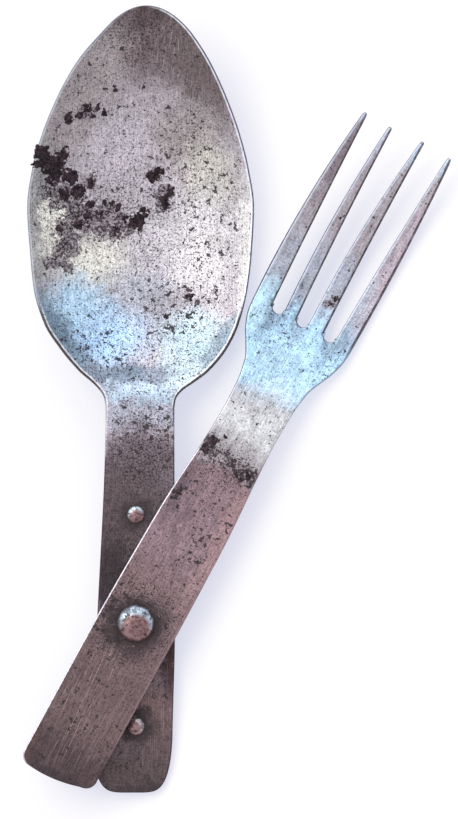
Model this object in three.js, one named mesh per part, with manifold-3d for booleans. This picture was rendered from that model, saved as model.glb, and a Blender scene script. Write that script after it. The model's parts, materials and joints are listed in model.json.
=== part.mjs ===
// A worn steel field set: a fork riveted to a spoon's handle, so that it swings over the bowl.
// Millimetres, +Z up. Both are drawn on the plane of the spoon's handle, with the pivot at
// the origin and +Y towards the bowl's tip, and the whole set is then laid down as it rests.
import * as THREE from "three";
import { mergeVertices } from "three/addons/utils/BufferGeometryUtils.js";
import Module from "manifold-3d";

const wasm = await Module();
wasm.setup();

// Spoon: places are measured from the pivot, along the handle.
const spoonTail = 34.8;
const spoonTailRound = 12.9;
const spoonHandleWidth = 16.6;
const spoonPivotWidth = 16;
const spoonNeckAt = 43.7;
const spoonNeckWidth = 14.1;
const neckBend = 7;
const neckDrop = 5;
const shoulderLength = 2;
const shoulderWidth = 14.6;
const bowlLength = 81.3;
const bowlWidth = 46.8;
const bowlDepth = 8.2;
const tipRise = 2.2;
const tipArch = 5.4;
const tipBlend = 27;
const handleSheet = 1.55;
const bowlSheet = 1.1;
// How far the middle of the hand-forged blank wanders sideways, at the tail and at the neck.
const handleDrift = -0.8;
const neckDrift = 0.8;
// How square the tail's end and the hollow's section are: 2 is an ellipse.
const tailSquareness = 4;
const hollowSquareness = 2.4;

// Fork: in its own frame, where +Y runs along the fork from the pivot to the tines.
const forkAngle = 29.4;
const forkTail = 35.4;
const forkTailSkew = 0.65;
const forkTailBulge = 0.6;
const forkTailCorner = 2.4;
const forkTailWidth = 16.2;
const forkMidAt = 22;
const forkMidWidth = 15.5;
const forkNeckWidth = 12.9;
const neckLag = 3.3;
const forkBend = 9;
const palmLength = 22.4;
const palmDish = 0.8;
const tineLength = 45.4;
const tineLift = 5.2;
const forkSheet = 1.7;
const tineSheet = 1.15;
const forkTailDrift = 0.9;
const forkNeckDrift = 0.35;
// Each tine's middle at its root and its tip, its sideways bow, and its widths at both ends.
const tines = [
  { root: -9.8, tip: -10.3, bow: -0.6, rootWidth: 4.1, tipWidth: 0.8, short: 0.5 },
  { root: -3.3, tip: -4.4, bow: -0.6, rootWidth: 2.95, tipWidth: 0.8, short: 0.6 },
  { root: 2.7, tip: 2.85, bow: -0.6, rootWidth: 3.6, tipWidth: 0.8, short: 0 },
  { root: 9.25, tip: 9.3, bow: 0.15, rootWidth: 3.8, tipWidth: 0.9, short: 0.3 },
];

// Rivets and washer.
const pivotHead = { diameter: 7.1, height: 1.9 };
const pivotShank = 4;
const pivotTail = { diameter: 6.4, height: 0.9 };
const studHead = { diameter: 3.5, height: 0.8 };
const studShank = 2;
const studTail = { diameter: 3.2, height: 0.45 };
const upperStudAt = 22.2;
const lowerStudAt = -21.2;
const washerDiameter = 9;

// Clearances: a turning shank in its hole, a seated face or shank, the fork over the studs,
// and the fork's lowest face over the bowl's rim as it swings across.
const runningFit = 0.08;
const seatFit = 0.05;
const studClearance = 0.2;
const sweepClearance = 1.85;

// How finely the curved pieces are divided.
const turns = 24;
const across = 18;
const bowlRows = 34;
const forkRows = 28;

const forkUnder = seatFit + studHead.height + studClearance;
const forkTop = forkUnder + forkSheet;
const forkLow = sweepClearance - neckDrop;
const spoonWidestAt = spoonTailRound - spoonTail;
const bendStart = spoonNeckAt - neckBend;
const shoulderAt = spoonNeckAt + shoulderLength;
const bowlTip = shoulderAt + bowlLength;
const tipStart = bowlTip - tipArch;
const forkNeckAt = spoonNeckAt + neckLag;
const slotRootAt = forkNeckAt + palmLength;
const forkTip = slotRootAt + tineLength;

// A smooth curve that never swings past its points, as a function of the first coordinate.
function through(points) {
  const slope = (i) => (points[i + 1][1] - points[i][1]) / (points[i + 1][0] - points[i][0]);
  const tangents = points.map((_, i) => {
    if (i === 0) return slope(0);
    if (i === points.length - 1) return slope(i - 1);
    const before = slope(i - 1);
    const after = slope(i);
    if (before * after <= 0) return 0;
    return (2 * before * after) / (before + after);
  });
  return (at) => {
    const last = points.length - 2;
    let i = 0;
    while (i < last && at > points[i + 1][0]) i += 1;
    const width = points[i + 1][0] - points[i][0];
    const t = THREE.MathUtils.clamp((at - points[i][0]) / width, 0, 1);
    const back = t - 1;
    return (
      (1 + 2 * t) * back * back * points[i][1] +
      t * back * back * width * tangents[i] +
      t * t * (3 - 2 * t) * points[i + 1][1] +
      t * t * back * width * tangents[i + 1]
    );
  };
}

// Even steps from one value to another, with both ends.
const steps = (from, to, count) =>
  Array.from({ length: count + 1 }, (_, i) => from + ((to - from) * i) / count);

// A closed three.js geometry as a solid, and a solid as a named mesh.
function solidFrom(geometry) {
  const bare = new THREE.BufferGeometry();
  bare.setAttribute("position", geometry.getAttribute("position"));
  bare.setIndex(geometry.index);
  const merged = mergeVertices(bare, 1e-4);
  return new wasm.Manifold(
    new wasm.Mesh({
      numProp: 3,
      vertProperties: merged.attributes.position.array,
      triVerts: new Uint32Array(merged.index.array),
    }),
  );
}

function pieceFrom(name, solid, material) {
  const { numProp, vertProperties, triVerts } = solid.getMesh();
  const position = new Float32Array((vertProperties.length / numProp) * 3);
  for (let i = 0; i < position.length / 3; i += 1) {
    position.set(vertProperties.subarray(i * numProp, i * numProp + 3), i * 3);
  }
  const geometry = new THREE.BufferGeometry();
  geometry.setAttribute("position", new THREE.BufferAttribute(position, 3));
  geometry.setIndex(new THREE.BufferAttribute(triVerts, 1));
  geometry.computeVertexNormals();
  const mesh = new THREE.Mesh(geometry, material);
  mesh.name = name;
  return mesh;
}

// A bent sheet: face(s, row) gives its lower face, s from -1 to 1 across, row a place along it.
// The upper face lies square above it, by the sheet's thickness there.
function sheetSolid(face, rows, columns, thicknessAt) {
  const box = new THREE.BoxGeometry(2, rows.length - 1, 1, columns, rows.length - 1, 1);
  const position = box.getAttribute("position");
  const acrossNudge = 0.03;
  const alongNudge = 0.3;
  for (let i = 0; i < position.count; i += 1) {
    const s = position.getX(i);
    const index = Math.round(position.getY(i) + (rows.length - 1) / 2);
    const row = rows[index];
    const point = face(s, row);
    if (position.getZ(i) > 0) {
      const acrossStep = face(s + (s > 0 ? -acrossNudge : acrossNudge), row).sub(point);
      const alongStep = face(s, row + (index > 0 ? -alongNudge : alongNudge)).sub(point);
      const normal = acrossStep.cross(alongStep).normalize();
      if (normal.z < 0) normal.negate();
      point.addScaledVector(normal, thicknessAt(row));
    }
    position.setXYZ(i, point.x, point.y, point.z);
  }
  return solidFrom(box);
}

// A rivet or a washer: a profile of radius and height turned about +Z at a place on the handle.
function turned(profile, y) {
  const points = profile.map(([radius, height]) => new THREE.Vector2(radius, height));
  const geometry = new THREE.LatheGeometry(points, turns);
  geometry.rotateX(Math.PI / 2);
  geometry.translate(0, y, 0);
  return solidFrom(geometry);
}

const pin = (diameter, low, high, y) =>
  turned([[0, low], [diameter / 2, low], [diameter / 2, high], [0, high]], y);

// A round-headed rivet, from its peened tail up to its domed head.
function rivetSolid({ head, shank, tail, tailSeat, headSeat, y }) {
  const dome = (cap, seat, way) =>
    steps(0, 1, 5).map((t) => [
      (cap.diameter / 2) * Math.cos((t * Math.PI) / 2),
      seat + way * cap.height * Math.sin((t * Math.PI) / 2),
    ]);
  return turned(
    [
      ...dome(tail, tailSeat, -1).reverse(),
      [shank / 2, tailSeat],
      [shank / 2, headSeat],
      ...dome(head, headSeat, 1),
    ],
    y,
  );
}

// The spoon's edges: how far out the bowl's rim stands between the shoulder and the widest
// place, as a share of the difference, at shares of the bowl's length. The tip is worn askew.
const rimShare = {
  left: [
    [0.012, 0.02], [0.026, 0.07], [0.041, 0.143], [0.071, 0.32], [0.13, 0.575], [0.19, 0.77],
    [0.28, 0.91], [0.37, 0.957], [0.49, 0.995], [0.585, 0.932], [0.677, 0.8], [0.766, 0.615],
    [0.857, 0.36],
  ],
  right: [
    [0.012, 0.03], [0.026, 0.1], [0.041, 0.211], [0.071, 0.415], [0.13, 0.66], [0.19, 0.805],
    [0.28, 0.92], [0.37, 0.975], [0.49, 1.005], [0.585, 0.938], [0.677, 0.82], [0.766, 0.658],
    [0.857, 0.44],
  ],
};
const tipShare = { left: 0.056, right: 0.168 };

function spoonEdge(side) {
  const way = side === "left" ? -1 : 1;
  const reach = (bowlWidth - shoulderWidth) / 2;
  const rim = (share) => neckDrift + way * (shoulderWidth / 2 + reach * share);
  return through([
    [spoonWidestAt - 1, handleDrift + (way * spoonHandleWidth) / 2],
    [spoonWidestAt, handleDrift + (way * spoonHandleWidth) / 2],
    [0, (way * spoonPivotWidth) / 2],
    [spoonNeckAt, neckDrift + (way * spoonNeckWidth) / 2],
    [shoulderAt, rim(0)],
    ...rimShare[side].map(([along, share]) => [shoulderAt + along * bowlLength, rim(share)]),
    [tipStart, rim(tipShare[side])],
  ]);
}

const spoonLeft = spoonEdge("left");
const spoonRight = spoonEdge("right");

// Height of the rim along the bowl, and of the flat handle before it.
const rimHeight = through([
  [-spoonTail, 0],
  [bendStart, 0],
  [shoulderAt, -0.45 * neckDrop],
  [shoulderAt + 0.2 * bowlLength, -0.92 * neckDrop],
  [shoulderAt + 0.45 * bowlLength, -neckDrop],
  [shoulderAt + 0.75 * bowlLength, -neckDrop + 0.3 * tipRise],
  [bowlTip, -neckDrop + tipRise],
]);

// The hollow's share of its full depth along the bowl.
const hollowShare = through([
  [spoonNeckAt, 0],
  [shoulderAt, 0],
  [shoulderAt + 0.04 * bowlLength, 0.08],
  [shoulderAt + 0.1 * bowlLength, 0.33],
  [shoulderAt + 0.23 * bowlLength, 0.78],
  [shoulderAt + 0.43 * bowlLength, 1],
  [shoulderAt + 0.65 * bowlLength, 0.83],
  [shoulderAt + 0.84 * bowlLength, 0.37],
  [tipStart, 0],
]);

const spoonThickness = through([
  [-spoonTail, handleSheet],
  [spoonNeckAt, handleSheet],
  [shoulderAt + 0.25 * bowlLength, bowlSheet],
  [bowlTip, bowlSheet],
]);

// The spoon's lower face. Its end rows bulge into the arched tip and the rounded tail.
function spoonFace(s, row) {
  const u = Math.sin((s * Math.PI) / 2);
  const left = spoonLeft(row);
  const right = spoonRight(row);
  const tipward = THREE.MathUtils.smoothstep(row, tipStart - tipBlend, tipStart);
  const tailward = 1 - THREE.MathUtils.smoothstep(row, spoonWidestAt, 0);
  const tipBulge = tipArch * (1 - u * u) * tipward;
  const tailBulge = spoonTailRound * Math.sqrt(1 - u ** tailSquareness) * tailward;
  const hollow = bowlDepth * hollowShare(row) * (1 - Math.abs(u) ** hollowSquareness);
  const y = row + tipBulge - tailBulge;
  const z = rimHeight(y) - hollow - spoonThickness(row);
  return new THREE.Vector3(left + ((u + 1) / 2) * (right - left), y, z);
}

function spoonSolid() {
  const tailRows = steps(spoonWidestAt, 0, 5);
  const handleRows = steps(0, bendStart, 3);
  const neckRows = steps(bendStart, shoulderAt, 4);
  const bowl = steps(shoulderAt, tipStart, bowlRows);
  const rows = [...tailRows, ...handleRows.slice(1), ...neckRows.slice(1), ...bowl.slice(1)];
  const blank = sheetSolid(spoonFace, rows, across, spoonThickness);
  const holes = [
    pin(pivotShank + 2 * seatFit, -2 * handleSheet, handleSheet, 0),
    pin(studShank + 2 * seatFit, -2 * handleSheet, handleSheet, upperStudAt),
    pin(studShank + 2 * seatFit, -2 * handleSheet, handleSheet, lowerStudAt),
  ];
  return holes.reduce((made, hole) => made.subtract(hole), blank);
}

// The fork's lower face along its length: flat handle, a dip at the palm, tines that rise.
const forkDip = forkUnder - forkLow;
const forkHeight = through([
  [-forkTail, forkUnder],
  [forkNeckAt - forkBend, forkUnder],
  [forkNeckAt + 0.18 * palmLength, forkUnder - 0.36 * forkDip],
  [forkNeckAt + 0.76 * palmLength, forkUnder - 0.86 * forkDip],
  [slotRootAt + 0.14 * tineLength, forkLow],
  [slotRootAt + 0.41 * tineLength, forkLow + 0.09 * tineLift],
  [slotRootAt + 0.72 * tineLength, forkLow + 0.48 * tineLift],
  [forkTip, forkLow + tineLift],
]);
const forkDished = through([
  [-forkTail, 0],
  [forkNeckAt, 0],
  [slotRootAt, 1],
  [forkTip, 0.6],
]);
const forkThickness = through([
  [-forkTail, forkSheet],
  [slotRootAt, forkSheet],
  [forkTip, tineSheet],
]);

// A tine's two edges at a place along the fork.
function tineAt(tine, along) {
  const t = (along - slotRootAt) / (forkTip - slotRootAt);
  const middle = tine.root + (tine.tip - tine.root) * t + tine.bow * 4 * t * (1 - t);
  const width = tine.tipWidth + (tine.rootWidth - tine.tipWidth) * (1 - t * t);
  return { left: middle - width / 2, right: middle + width / 2, middle };
}

// The fork's edges from the handle's end to the tines' roots.
const tineRootEdge = {
  left: tineAt(tines[0], slotRootAt).left,
  right: tineAt(tines[tines.length - 1], slotRootAt).right,
};

function forkEdge(side) {
  const way = side === "left" ? -1 : 1;
  const neck = forkNeckDrift + (way * forkNeckWidth) / 2;
  const palm = (along, share) => [
    forkNeckAt + along * palmLength,
    neck + (tineRootEdge[side] - neck) * share,
  ];
  return through([
    [-forkTail - forkTailSkew, forkTailDrift + (way * forkTailWidth) / 2],
    [0, (forkTailDrift + way * forkTailWidth) / 2],
    [forkMidAt, forkNeckDrift + (way * forkMidWidth) / 2],
    [forkNeckAt, neck],
    palm(0.27, 0.04),
    palm(0.5, 0.2),
    palm(0.63, 0.46),
    palm(0.76, 0.75),
    palm(0.9, 0.95),
    palm(1, 1),
  ]);
}

// The fork's outline seen from above, with blunt tine tips and round slot roots.
function forkOutline() {
  const leftEdge = forkEdge("left");
  const rightEdge = forkEdge("right");
  const points = [];
  const add = (x, y) => points.push(new THREE.Vector2(x, y));
  const arc = (x, y, radius, from, to, count) => {
    steps(from, to, count).forEach((angle) => {
      add(x + radius * Math.cos(angle), y + radius * Math.sin(angle));
    });
  };
  const bottomLeft = -forkTail - forkTailSkew;
  const bottomRight = -forkTail + forkTailSkew;
  const corner = forkTailCorner;
  const tailLeft = leftEdge(bottomLeft) + corner;
  const tailRight = rightEdge(bottomRight) - corner;
  arc(tailLeft, bottomLeft + corner, corner, Math.PI, 1.45 * Math.PI, 5);
  [0.2, 0.4, 0.6, 0.8].forEach((share) => {
    const sag = 4 * forkTailBulge * share * (1 - share);
    const y = THREE.MathUtils.lerp(bottomLeft, bottomRight, share) - sag;
    add(THREE.MathUtils.lerp(tailLeft, tailRight, share), y);
  });
  arc(tailRight, bottomRight + corner, corner, -0.45 * Math.PI, 0, 5);
  const handlePlaces = steps(0, forkNeckAt, 5);
  const palmPlaces = steps(forkNeckAt, slotRootAt, 10).slice(1);
  [...handlePlaces, ...palmPlaces].forEach((y) => add(rightEdge(y), y));
  for (let i = tines.length - 1; i >= 0; i -= 1) {
    const tine = tines[i];
    const end = forkTip - tine.short;
    const radius = tine.tipWidth / 2;
    const shaft = steps(slotRootAt, end - 2 * radius, 10).slice(1);
    shaft.forEach((y) => add(tineAt(tine, y).right, y));
    arc(tineAt(tine, end).middle, end - radius, radius, 0, Math.PI, 4);
    shaft.reverse().forEach((y) => add(tineAt(tine, y).left, y));
    if (i > 0) {
      const right = tineAt(tine, slotRootAt).left;
      const left = tineAt(tines[i - 1], slotRootAt).right;
      const half = (right - left) / 2;
      arc(left + half, slotRootAt + half, half, 0, -Math.PI, 8);
    }
  }
  [...handlePlaces, ...palmPlaces].reverse().forEach((y) => add(leftEdge(y), y));
  return points;
}

// A wide plate with the fork's side profile, cut to its outline.
function forkSolid() {
  const spare = 4;
  const headHalf = (tineRootEdge.right - tineRootEdge.left) / 2;
  const reach = headHalf + spare;
  const face = (s, row) => {
    const dish = palmDish * forkDished(row) * ((reach * s) / headHalf) ** 2;
    return new THREE.Vector3(reach * s, row, forkHeight(row) + dish);
  };
  const handleRows = steps(-forkTail - spare, forkNeckAt - forkBend, 2);
  const headRows = steps(forkNeckAt - forkBend, forkTip + spare, forkRows);
  const plate = sheetSolid(face, [...handleRows, ...headRows.slice(1)], 8, forkThickness);
  const outline = new THREE.ExtrudeGeometry(new THREE.Shape(forkOutline()), {
    depth: forkDip + tineLift + 6 * forkSheet,
    bevelEnabled: false,
  });
  outline.translate(0, 0, forkLow - 2 * forkSheet);
  const hole = pin(pivotShank + 2 * runningFit, forkUnder - forkSheet, forkTop + forkSheet, 0);
  return plate.intersect(solidFrom(outline)).subtract(hole);
}

const steel = (color, roughness) =>
  new THREE.MeshStandardMaterial({ color, roughness, metalness: 0.9 });

const spoon = pieceFrom("spoon", spoonSolid(), steel(0x9c9294, 0.45));
const fork = pieceFrom("fork", forkSolid(), steel(0xa59c9d, 0.4));
const pivotRivet = pieceFrom(
  "pivot_rivet",
  rivetSolid({
    head: pivotHead,
    shank: pivotShank,
    tail: pivotTail,
    tailSeat: -handleSheet - seatFit,
    headSeat: forkTop + seatFit,
    y: 0,
  }),
  steel(0xa9a3a6, 0.35),
);
const stud = (name, y) =>
  pieceFrom(
    name,
    rivetSolid({
      head: studHead,
      shank: studShank,
      tail: studTail,
      tailSeat: -handleSheet - seatFit,
      headSeat: seatFit,
      y,
    }),
    steel(0x9f989a, 0.4),
  );
const washerHole = pivotShank / 2 + runningFit;
const washerRing = [
  [washerHole, seatFit],
  [washerDiameter / 2, seatFit],
  [washerDiameter / 2, forkUnder - seatFit],
  [washerHole, forkUnder - seatFit],
  [washerHole, seatFit],
];
const washer = pieceFrom("pivot_washer", turned(washerRing, 0), steel(0x8d8687, 0.5));

const forkArm = new THREE.Group();
forkArm.rotation.z = -THREE.MathUtils.degToRad(forkAngle);
forkArm.add(fork);

const cutlery = new THREE.Group();
cutlery.add(spoon, forkArm, pivotRivet, stud("upper_stud", upperStudAt));
cutlery.add(stud("lower_stud", lowerStudAt), washer);
cutlery.updateMatrixWorld(true);

// Every corner of a mesh, in the frame of the handle's plane.
function cornersOf(mesh) {
  const position = mesh.geometry.getAttribute("position");
  return Array.from({ length: position.count }, (_, i) =>
    new THREE.Vector3().fromBufferAttribute(position, i).applyMatrix4(mesh.matrixWorld),
  );
}

// The table's upward direction: the set rests on its bowl, its handle's end and a tine,
// so the plane under the lowest point of each is found again until it stays the same.
function tableDirection() {
  const spoonCorners = cornersOf(spoon);
  const supports = [
    spoonCorners.filter((point) => point.y > shoulderAt),
    spoonCorners.filter((point) => point.y < spoonWidestAt),
    cornersOf(fork),
  ];
  const up = new THREE.Vector3(0, 0, 1);
  for (let round = 0; round < 20; round += 1) {
    const [bowl, tail, tine] = supports.map((corners) =>
      corners.reduce((low, point) => (point.dot(up) < low.dot(up) ? point : low)),
    );
    up.crossVectors(tine.clone().sub(tail), bowl.clone().sub(tail)).normalize();
  }
  return up;
}

const laidDown = new THREE.Group();
cutlery.quaternion.setFromUnitVectors(tableDirection(), new THREE.Vector3(0, 0, 1));
laidDown.add(cutlery);
laidDown.updateMatrixWorld(true);
const reachBox = new THREE.Box3().setFromObject(laidDown, true);
const middle = reachBox.getCenter(new THREE.Vector3());
cutlery.position.set(-middle.x, -middle.y, -reachBox.min.z);

export default laidDown;
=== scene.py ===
# Worn steel folding spoon and fork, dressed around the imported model.
# Sheets, crust and rivets are drawn in millimetres on the plane of the handles, with the pivot at
# zero and +Y towards the tip of the piece, and are then carried to their place in metres.
import json
import math

import bmesh
import bpy
import numpy as np
from mathutils import Matrix, Vector, geometry, noise


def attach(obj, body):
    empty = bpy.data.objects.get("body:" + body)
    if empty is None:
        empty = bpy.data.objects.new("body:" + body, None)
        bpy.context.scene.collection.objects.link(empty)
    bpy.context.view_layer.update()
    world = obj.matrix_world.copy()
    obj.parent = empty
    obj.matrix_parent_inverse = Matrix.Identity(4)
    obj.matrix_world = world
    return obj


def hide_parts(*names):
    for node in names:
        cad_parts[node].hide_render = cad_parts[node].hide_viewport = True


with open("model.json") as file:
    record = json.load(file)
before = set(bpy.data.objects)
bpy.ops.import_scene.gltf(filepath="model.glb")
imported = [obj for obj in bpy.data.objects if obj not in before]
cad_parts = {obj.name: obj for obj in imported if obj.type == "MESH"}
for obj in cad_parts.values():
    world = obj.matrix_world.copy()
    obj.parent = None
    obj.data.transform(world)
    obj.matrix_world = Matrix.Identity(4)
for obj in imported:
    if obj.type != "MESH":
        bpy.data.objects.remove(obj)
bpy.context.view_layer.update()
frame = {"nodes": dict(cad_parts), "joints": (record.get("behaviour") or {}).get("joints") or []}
swing = frame["joints"][0]
pivot = Vector(swing["pos_m"])
faceUp = -Vector(swing["axis"]).normalized()
handleTurn = Vector((0, 0, 1)).rotation_difference(faceUp).to_matrix().to_4x4()
# Fully closed, at the joint's lower limit, the fork lies along the spoon.
forkTurn = handleTurn @ Matrix.Rotation(math.radians(swing["range_deg"][0]), 4, "Z")


def placeOf(turn):
    return Matrix.Translation(pivot) @ turn @ Matrix.Scale(0.001, 4)


print("frame loaded, pivot at", tuple(round(v, 4) for v in pivot))

# The camera looks straight down on the handles' plane.
view = {
    "middle": (19.07, 43.77),  # what the picture's middle looks at, in mm on the handles' plane
    "height": 167.9,  # what the picture takes in from top to bottom, in mm
    "away": 1.5,  # how far the camera stands off, in m
    "sensor": 36,
}


def makeCamera():
    data = bpy.data.cameras.new("camera")
    camera = bpy.data.objects.new("camera", data)
    bpy.context.scene.collection.objects.link(camera)
    target = placeOf(handleTurn) @ Vector((*view["middle"], 0))
    camera.matrix_world = Matrix.Translation(target + faceUp * view["away"]) @ handleTurn
    data.sensor_width = view["sensor"]
    data.lens = view["sensor"] * view["away"] * 1000 / view["height"]
    data.clip_start, data.clip_end = 0.05, 20
    bpy.context.scene.camera = camera


studio = {
    "floorColour": (0.92, 0.92, 0.93),  # what lights the steel from below
    "floorReach": 6,  # half the floor's side, in m
    # What the camera sees: a warm matt floor and a cool glow that add up to white, so that
    # shadows turn a faint violet blue.
    "floorSeen": (0.48, 0.46, 0.30),
    "floorGlow": (0.54, 0.56, 0.71),
    "skyColour": (0.90, 0.88, 1.0),  # what lights matt things, faintly blue in the shadows
    "skyStrength": 0.8,
    "lamps": {
        "keyLamp": {"from": (-0.5, 0.38, 1.0), "size": 0.9, "power": 5.6, "colour": (1, 0.97, 0.93)},
        "farLamp": {"from": (0.1, 1.0, 0.75), "size": 0.8, "power": 3, "colour": (0.92, 0.96, 1)},
    },
}


def addNode(tree, kind, inputs=None, **settings):
    made = tree.nodes.new(kind)
    for key, value in settings.items():
        setattr(made, key, value)
    for key, value in (inputs or {}).items():
        if isinstance(value, bpy.types.NodeSocket):
            tree.links.new(value, made.inputs[key])
        else:
            made.inputs[key].default_value = value
    return made


def calc(tree, operation, *values, clamp=False):
    made = addNode(tree, "ShaderNodeMath", dict(enumerate(values)), operation=operation, use_clamp=clamp)
    return made.outputs[0]


# The base with a share of a value added to it.
def addShare(tree, base, value, share):
    return calc(tree, "ADD", base, calc(tree, "MULTIPLY", value, share))


def makeStudio():
    scene = bpy.context.scene
    scene.view_settings.view_transform = "Standard"
    world = bpy.data.worlds.new("studio")
    scene.world = world
    world.use_nodes = True
    tree = world.node_tree
    tree.nodes.clear()
    path = tree.nodes.new("ShaderNodeLightPath").outputs
    seen = calc(tree, "MAXIMUM", path["Is Camera Ray"], path["Is Glossy Ray"])
    seen = calc(tree, "MAXIMUM", seen, path["Is Transmission Ray"])
    sky = {"Color": (*studio["skyColour"], 1), "Strength": studio["skyStrength"]}
    lit = addNode(tree, "ShaderNodeBackground", sky)
    white = addNode(tree, "ShaderNodeBackground", {"Color": (1, 1, 1, 1), "Strength": 1})
    mix = addNode(tree, "ShaderNodeMixShader", {0: seen, 1: lit.outputs[0], 2: white.outputs[0]})
    addNode(tree, "ShaderNodeOutputWorld", {"Surface": mix.outputs[0]})
    for name, lamp in studio["lamps"].items():
        light = bpy.data.lights.new(name, "AREA")
        light.energy, light.size, light.color = lamp["power"], lamp["size"], lamp["colour"]
        holder = bpy.data.objects.new(name, light)
        scene.collection.objects.link(holder)
        holder.location = lamp["from"]
        holder.rotation_euler = (-holder.location).to_track_quat("-Z", "Y").to_euler()
    reach = studio["floorReach"]
    corners = [(-reach, -reach, 0), (reach, -reach, 0), (reach, reach, 0), (-reach, reach, 0)]
    sheet = bpy.data.meshes.new("floor")
    sheet.from_pydata(corners, [], [(0, 1, 2, 3)])
    floor = bpy.data.objects.new("floor", sheet)
    scene.collection.objects.link(floor)
    matPaint = bpy.data.materials.new("floorPaint")
    matPaint.use_nodes = True
    tree = matPaint.node_tree
    matt = tree.nodes["Principled BSDF"]
    seen = tree.nodes.new("ShaderNodeLightPath").outputs["Is Camera Ray"]
    colour = {0: seen, 6: (*studio["floorColour"], 1), 7: (*studio["floorSeen"], 1)}
    colour = addNode(tree, "ShaderNodeMix", colour, data_type="RGBA").outputs[2]
    tree.links.new(colour, matt.inputs["Base Color"])
    matt.inputs["Roughness"].default_value = 0.9
    matt.inputs["Specular IOR Level"].default_value = 0.1
    glow = addNode(tree, "ShaderNodeEmission", {"Color": (*studio["floorGlow"], 1), "Strength": seen})
    both = addNode(tree, "ShaderNodeAddShader", {0: matt.outputs[0], 1: glow.outputs[0]})
    tree.links.new(both.outputs[0], tree.nodes["Material Output"].inputs["Surface"])
    sheet.materials.append(matPaint)
    print("studio ready")


makeCamera()
makeStudio()


# A smooth curve through points that never swings past them, for arrays of places along it.
def smoothCurve(points):
    at = np.array([p[0] for p in points], float)
    value = np.array([p[1] for p in points], float)
    step = np.diff(at)
    slope = np.diff(value) / step
    tangent = np.zeros(len(at))
    tangent[0], tangent[-1] = slope[0], slope[-1]
    for i in range(1, len(at) - 1):
        if slope[i - 1] * slope[i] > 0:
            tangent[i] = 2 * slope[i - 1] * slope[i] / (slope[i - 1] + slope[i])

    def curve(x):
        x = np.clip(np.asarray(x, float), at[0], at[-1])
        i = np.clip(np.searchsorted(at, x) - 1, 0, len(step) - 1)
        t = (x - at[i]) / step[i]
        back = t - 1
        rise = (1 + 2 * t) * back**2 * value[i] + t * back**2 * step[i] * tangent[i]
        return rise + t**2 * (3 - 2 * t) * value[i + 1] + t**2 * back * step[i] * tangent[i + 1]

    return curve


# From 0 at the start to 1 at the end, level at both.
def ease(x, start, end):
    t = np.clip((np.asarray(x, float) - start) / (end - start), 0, 1)
    return t * t * (3 - 2 * t)


# The loop again, with its points evenly spaced.
def evenLoop(points, spacing):
    closed = np.vstack((points, points[:1]))
    along = np.concatenate(([0], np.cumsum(np.linalg.norm(np.diff(closed, axis=0), axis=1))))
    places = np.linspace(0, along[-1], int(along[-1] / spacing), endpoint=False)
    return np.column_stack([np.interp(places, along, closed[:, k]) for k in (0, 1)])


# The loop worn smooth past a place along it: each point slides towards the mean of those about it.
def softened(loop, start, reach, fade=6):
    step = np.linalg.norm(loop[1] - loop[0])
    count = int(3 * reach / step)
    total, weights = np.zeros_like(loop), 0
    for shift in range(-count, count + 1):
        weight = math.exp(-((shift * step / reach) ** 2) / 2)
        total += weight * np.roll(loop, shift, axis=0)
        weights += weight
    share = ease(loop[:, 1:], start, start + fade)
    return loop * (1 - share) + total / weights * share


# The way out of an anticlockwise loop at each of its points.
def outward(loop):
    along = np.roll(loop, -1, axis=0) - np.roll(loop, 1, axis=0)
    along /= np.linalg.norm(along, axis=1)[:, None]
    return np.column_stack((along[:, 1], -along[:, 0]))


# Which of the points lie inside the loop.
def insideLoop(points, loop):
    inside = np.zeros(len(points), bool)
    x, y = points[:, 0], points[:, 1]
    for (ax, ay), (bx, by) in zip(loop, np.roll(loop, -1, axis=0)):
        crosses = (ay > y) != (by > y)
        if crosses.any():
            reach = np.where(crosses, (bx - ax) * (y - ay) / ((by - ay) or 1) + ax, -np.inf)
            inside ^= crosses & (x < reach)
    return inside


# The nearest point of the loop to each point: how far off it is, and which one.
def nearest(points, loop, batch=4000):
    distance = np.empty(len(points))
    which = np.empty(len(points), int)
    for start in range(0, len(points), batch):
        part = slice(start, start + batch)
        square = ((points[part, None, :] - loop[None, :, :]) ** 2).sum(2)
        which[part] = square.argmin(1)
        distance[part] = np.sqrt(square.min(1))
    return distance, which


# Soft noise at each point of a plan, with lumps of about a size in mm. Each seed has its own field.
def fieldNoise(points, size, seed, octaves=2):
    shift = Vector((seed * 7.3, seed * 3.1, seed * 1.7))
    return np.array([noise.fractal(Vector((x, y, 0)) / size + shift, 1, 2, octaves) for x, y in points])


# How far the sheet's section leans with the slope: upright at the worn edge, square further in.
def standing(rim, settings):
    return settings["edgeLean"] + (1 - settings["edgeLean"]) * ease(rim, 0, settings["leanReach"])


# The way square to the sheet at each point of its plan, leaning with the slope by a share.
def squareTo(plan, lower, lean, tiny=0.05):
    slopeX = (lower(plan + (tiny, 0)) - lower(plan - (tiny, 0))) / (2 * tiny)
    slopeY = (lower(plan + (0, tiny)) - lower(plan - (0, tiny))) / (2 * tiny)
    square = np.column_stack((-slopeX * lean, -slopeY * lean, np.ones(len(plan))))
    return square / np.linalg.norm(square, axis=1)[:, None]


roundingSteps = 4  # of a sheet's rounded edge
beyondRim = 9  # stands for far in from the rim, in mm, for what no edge wear reaches


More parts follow.
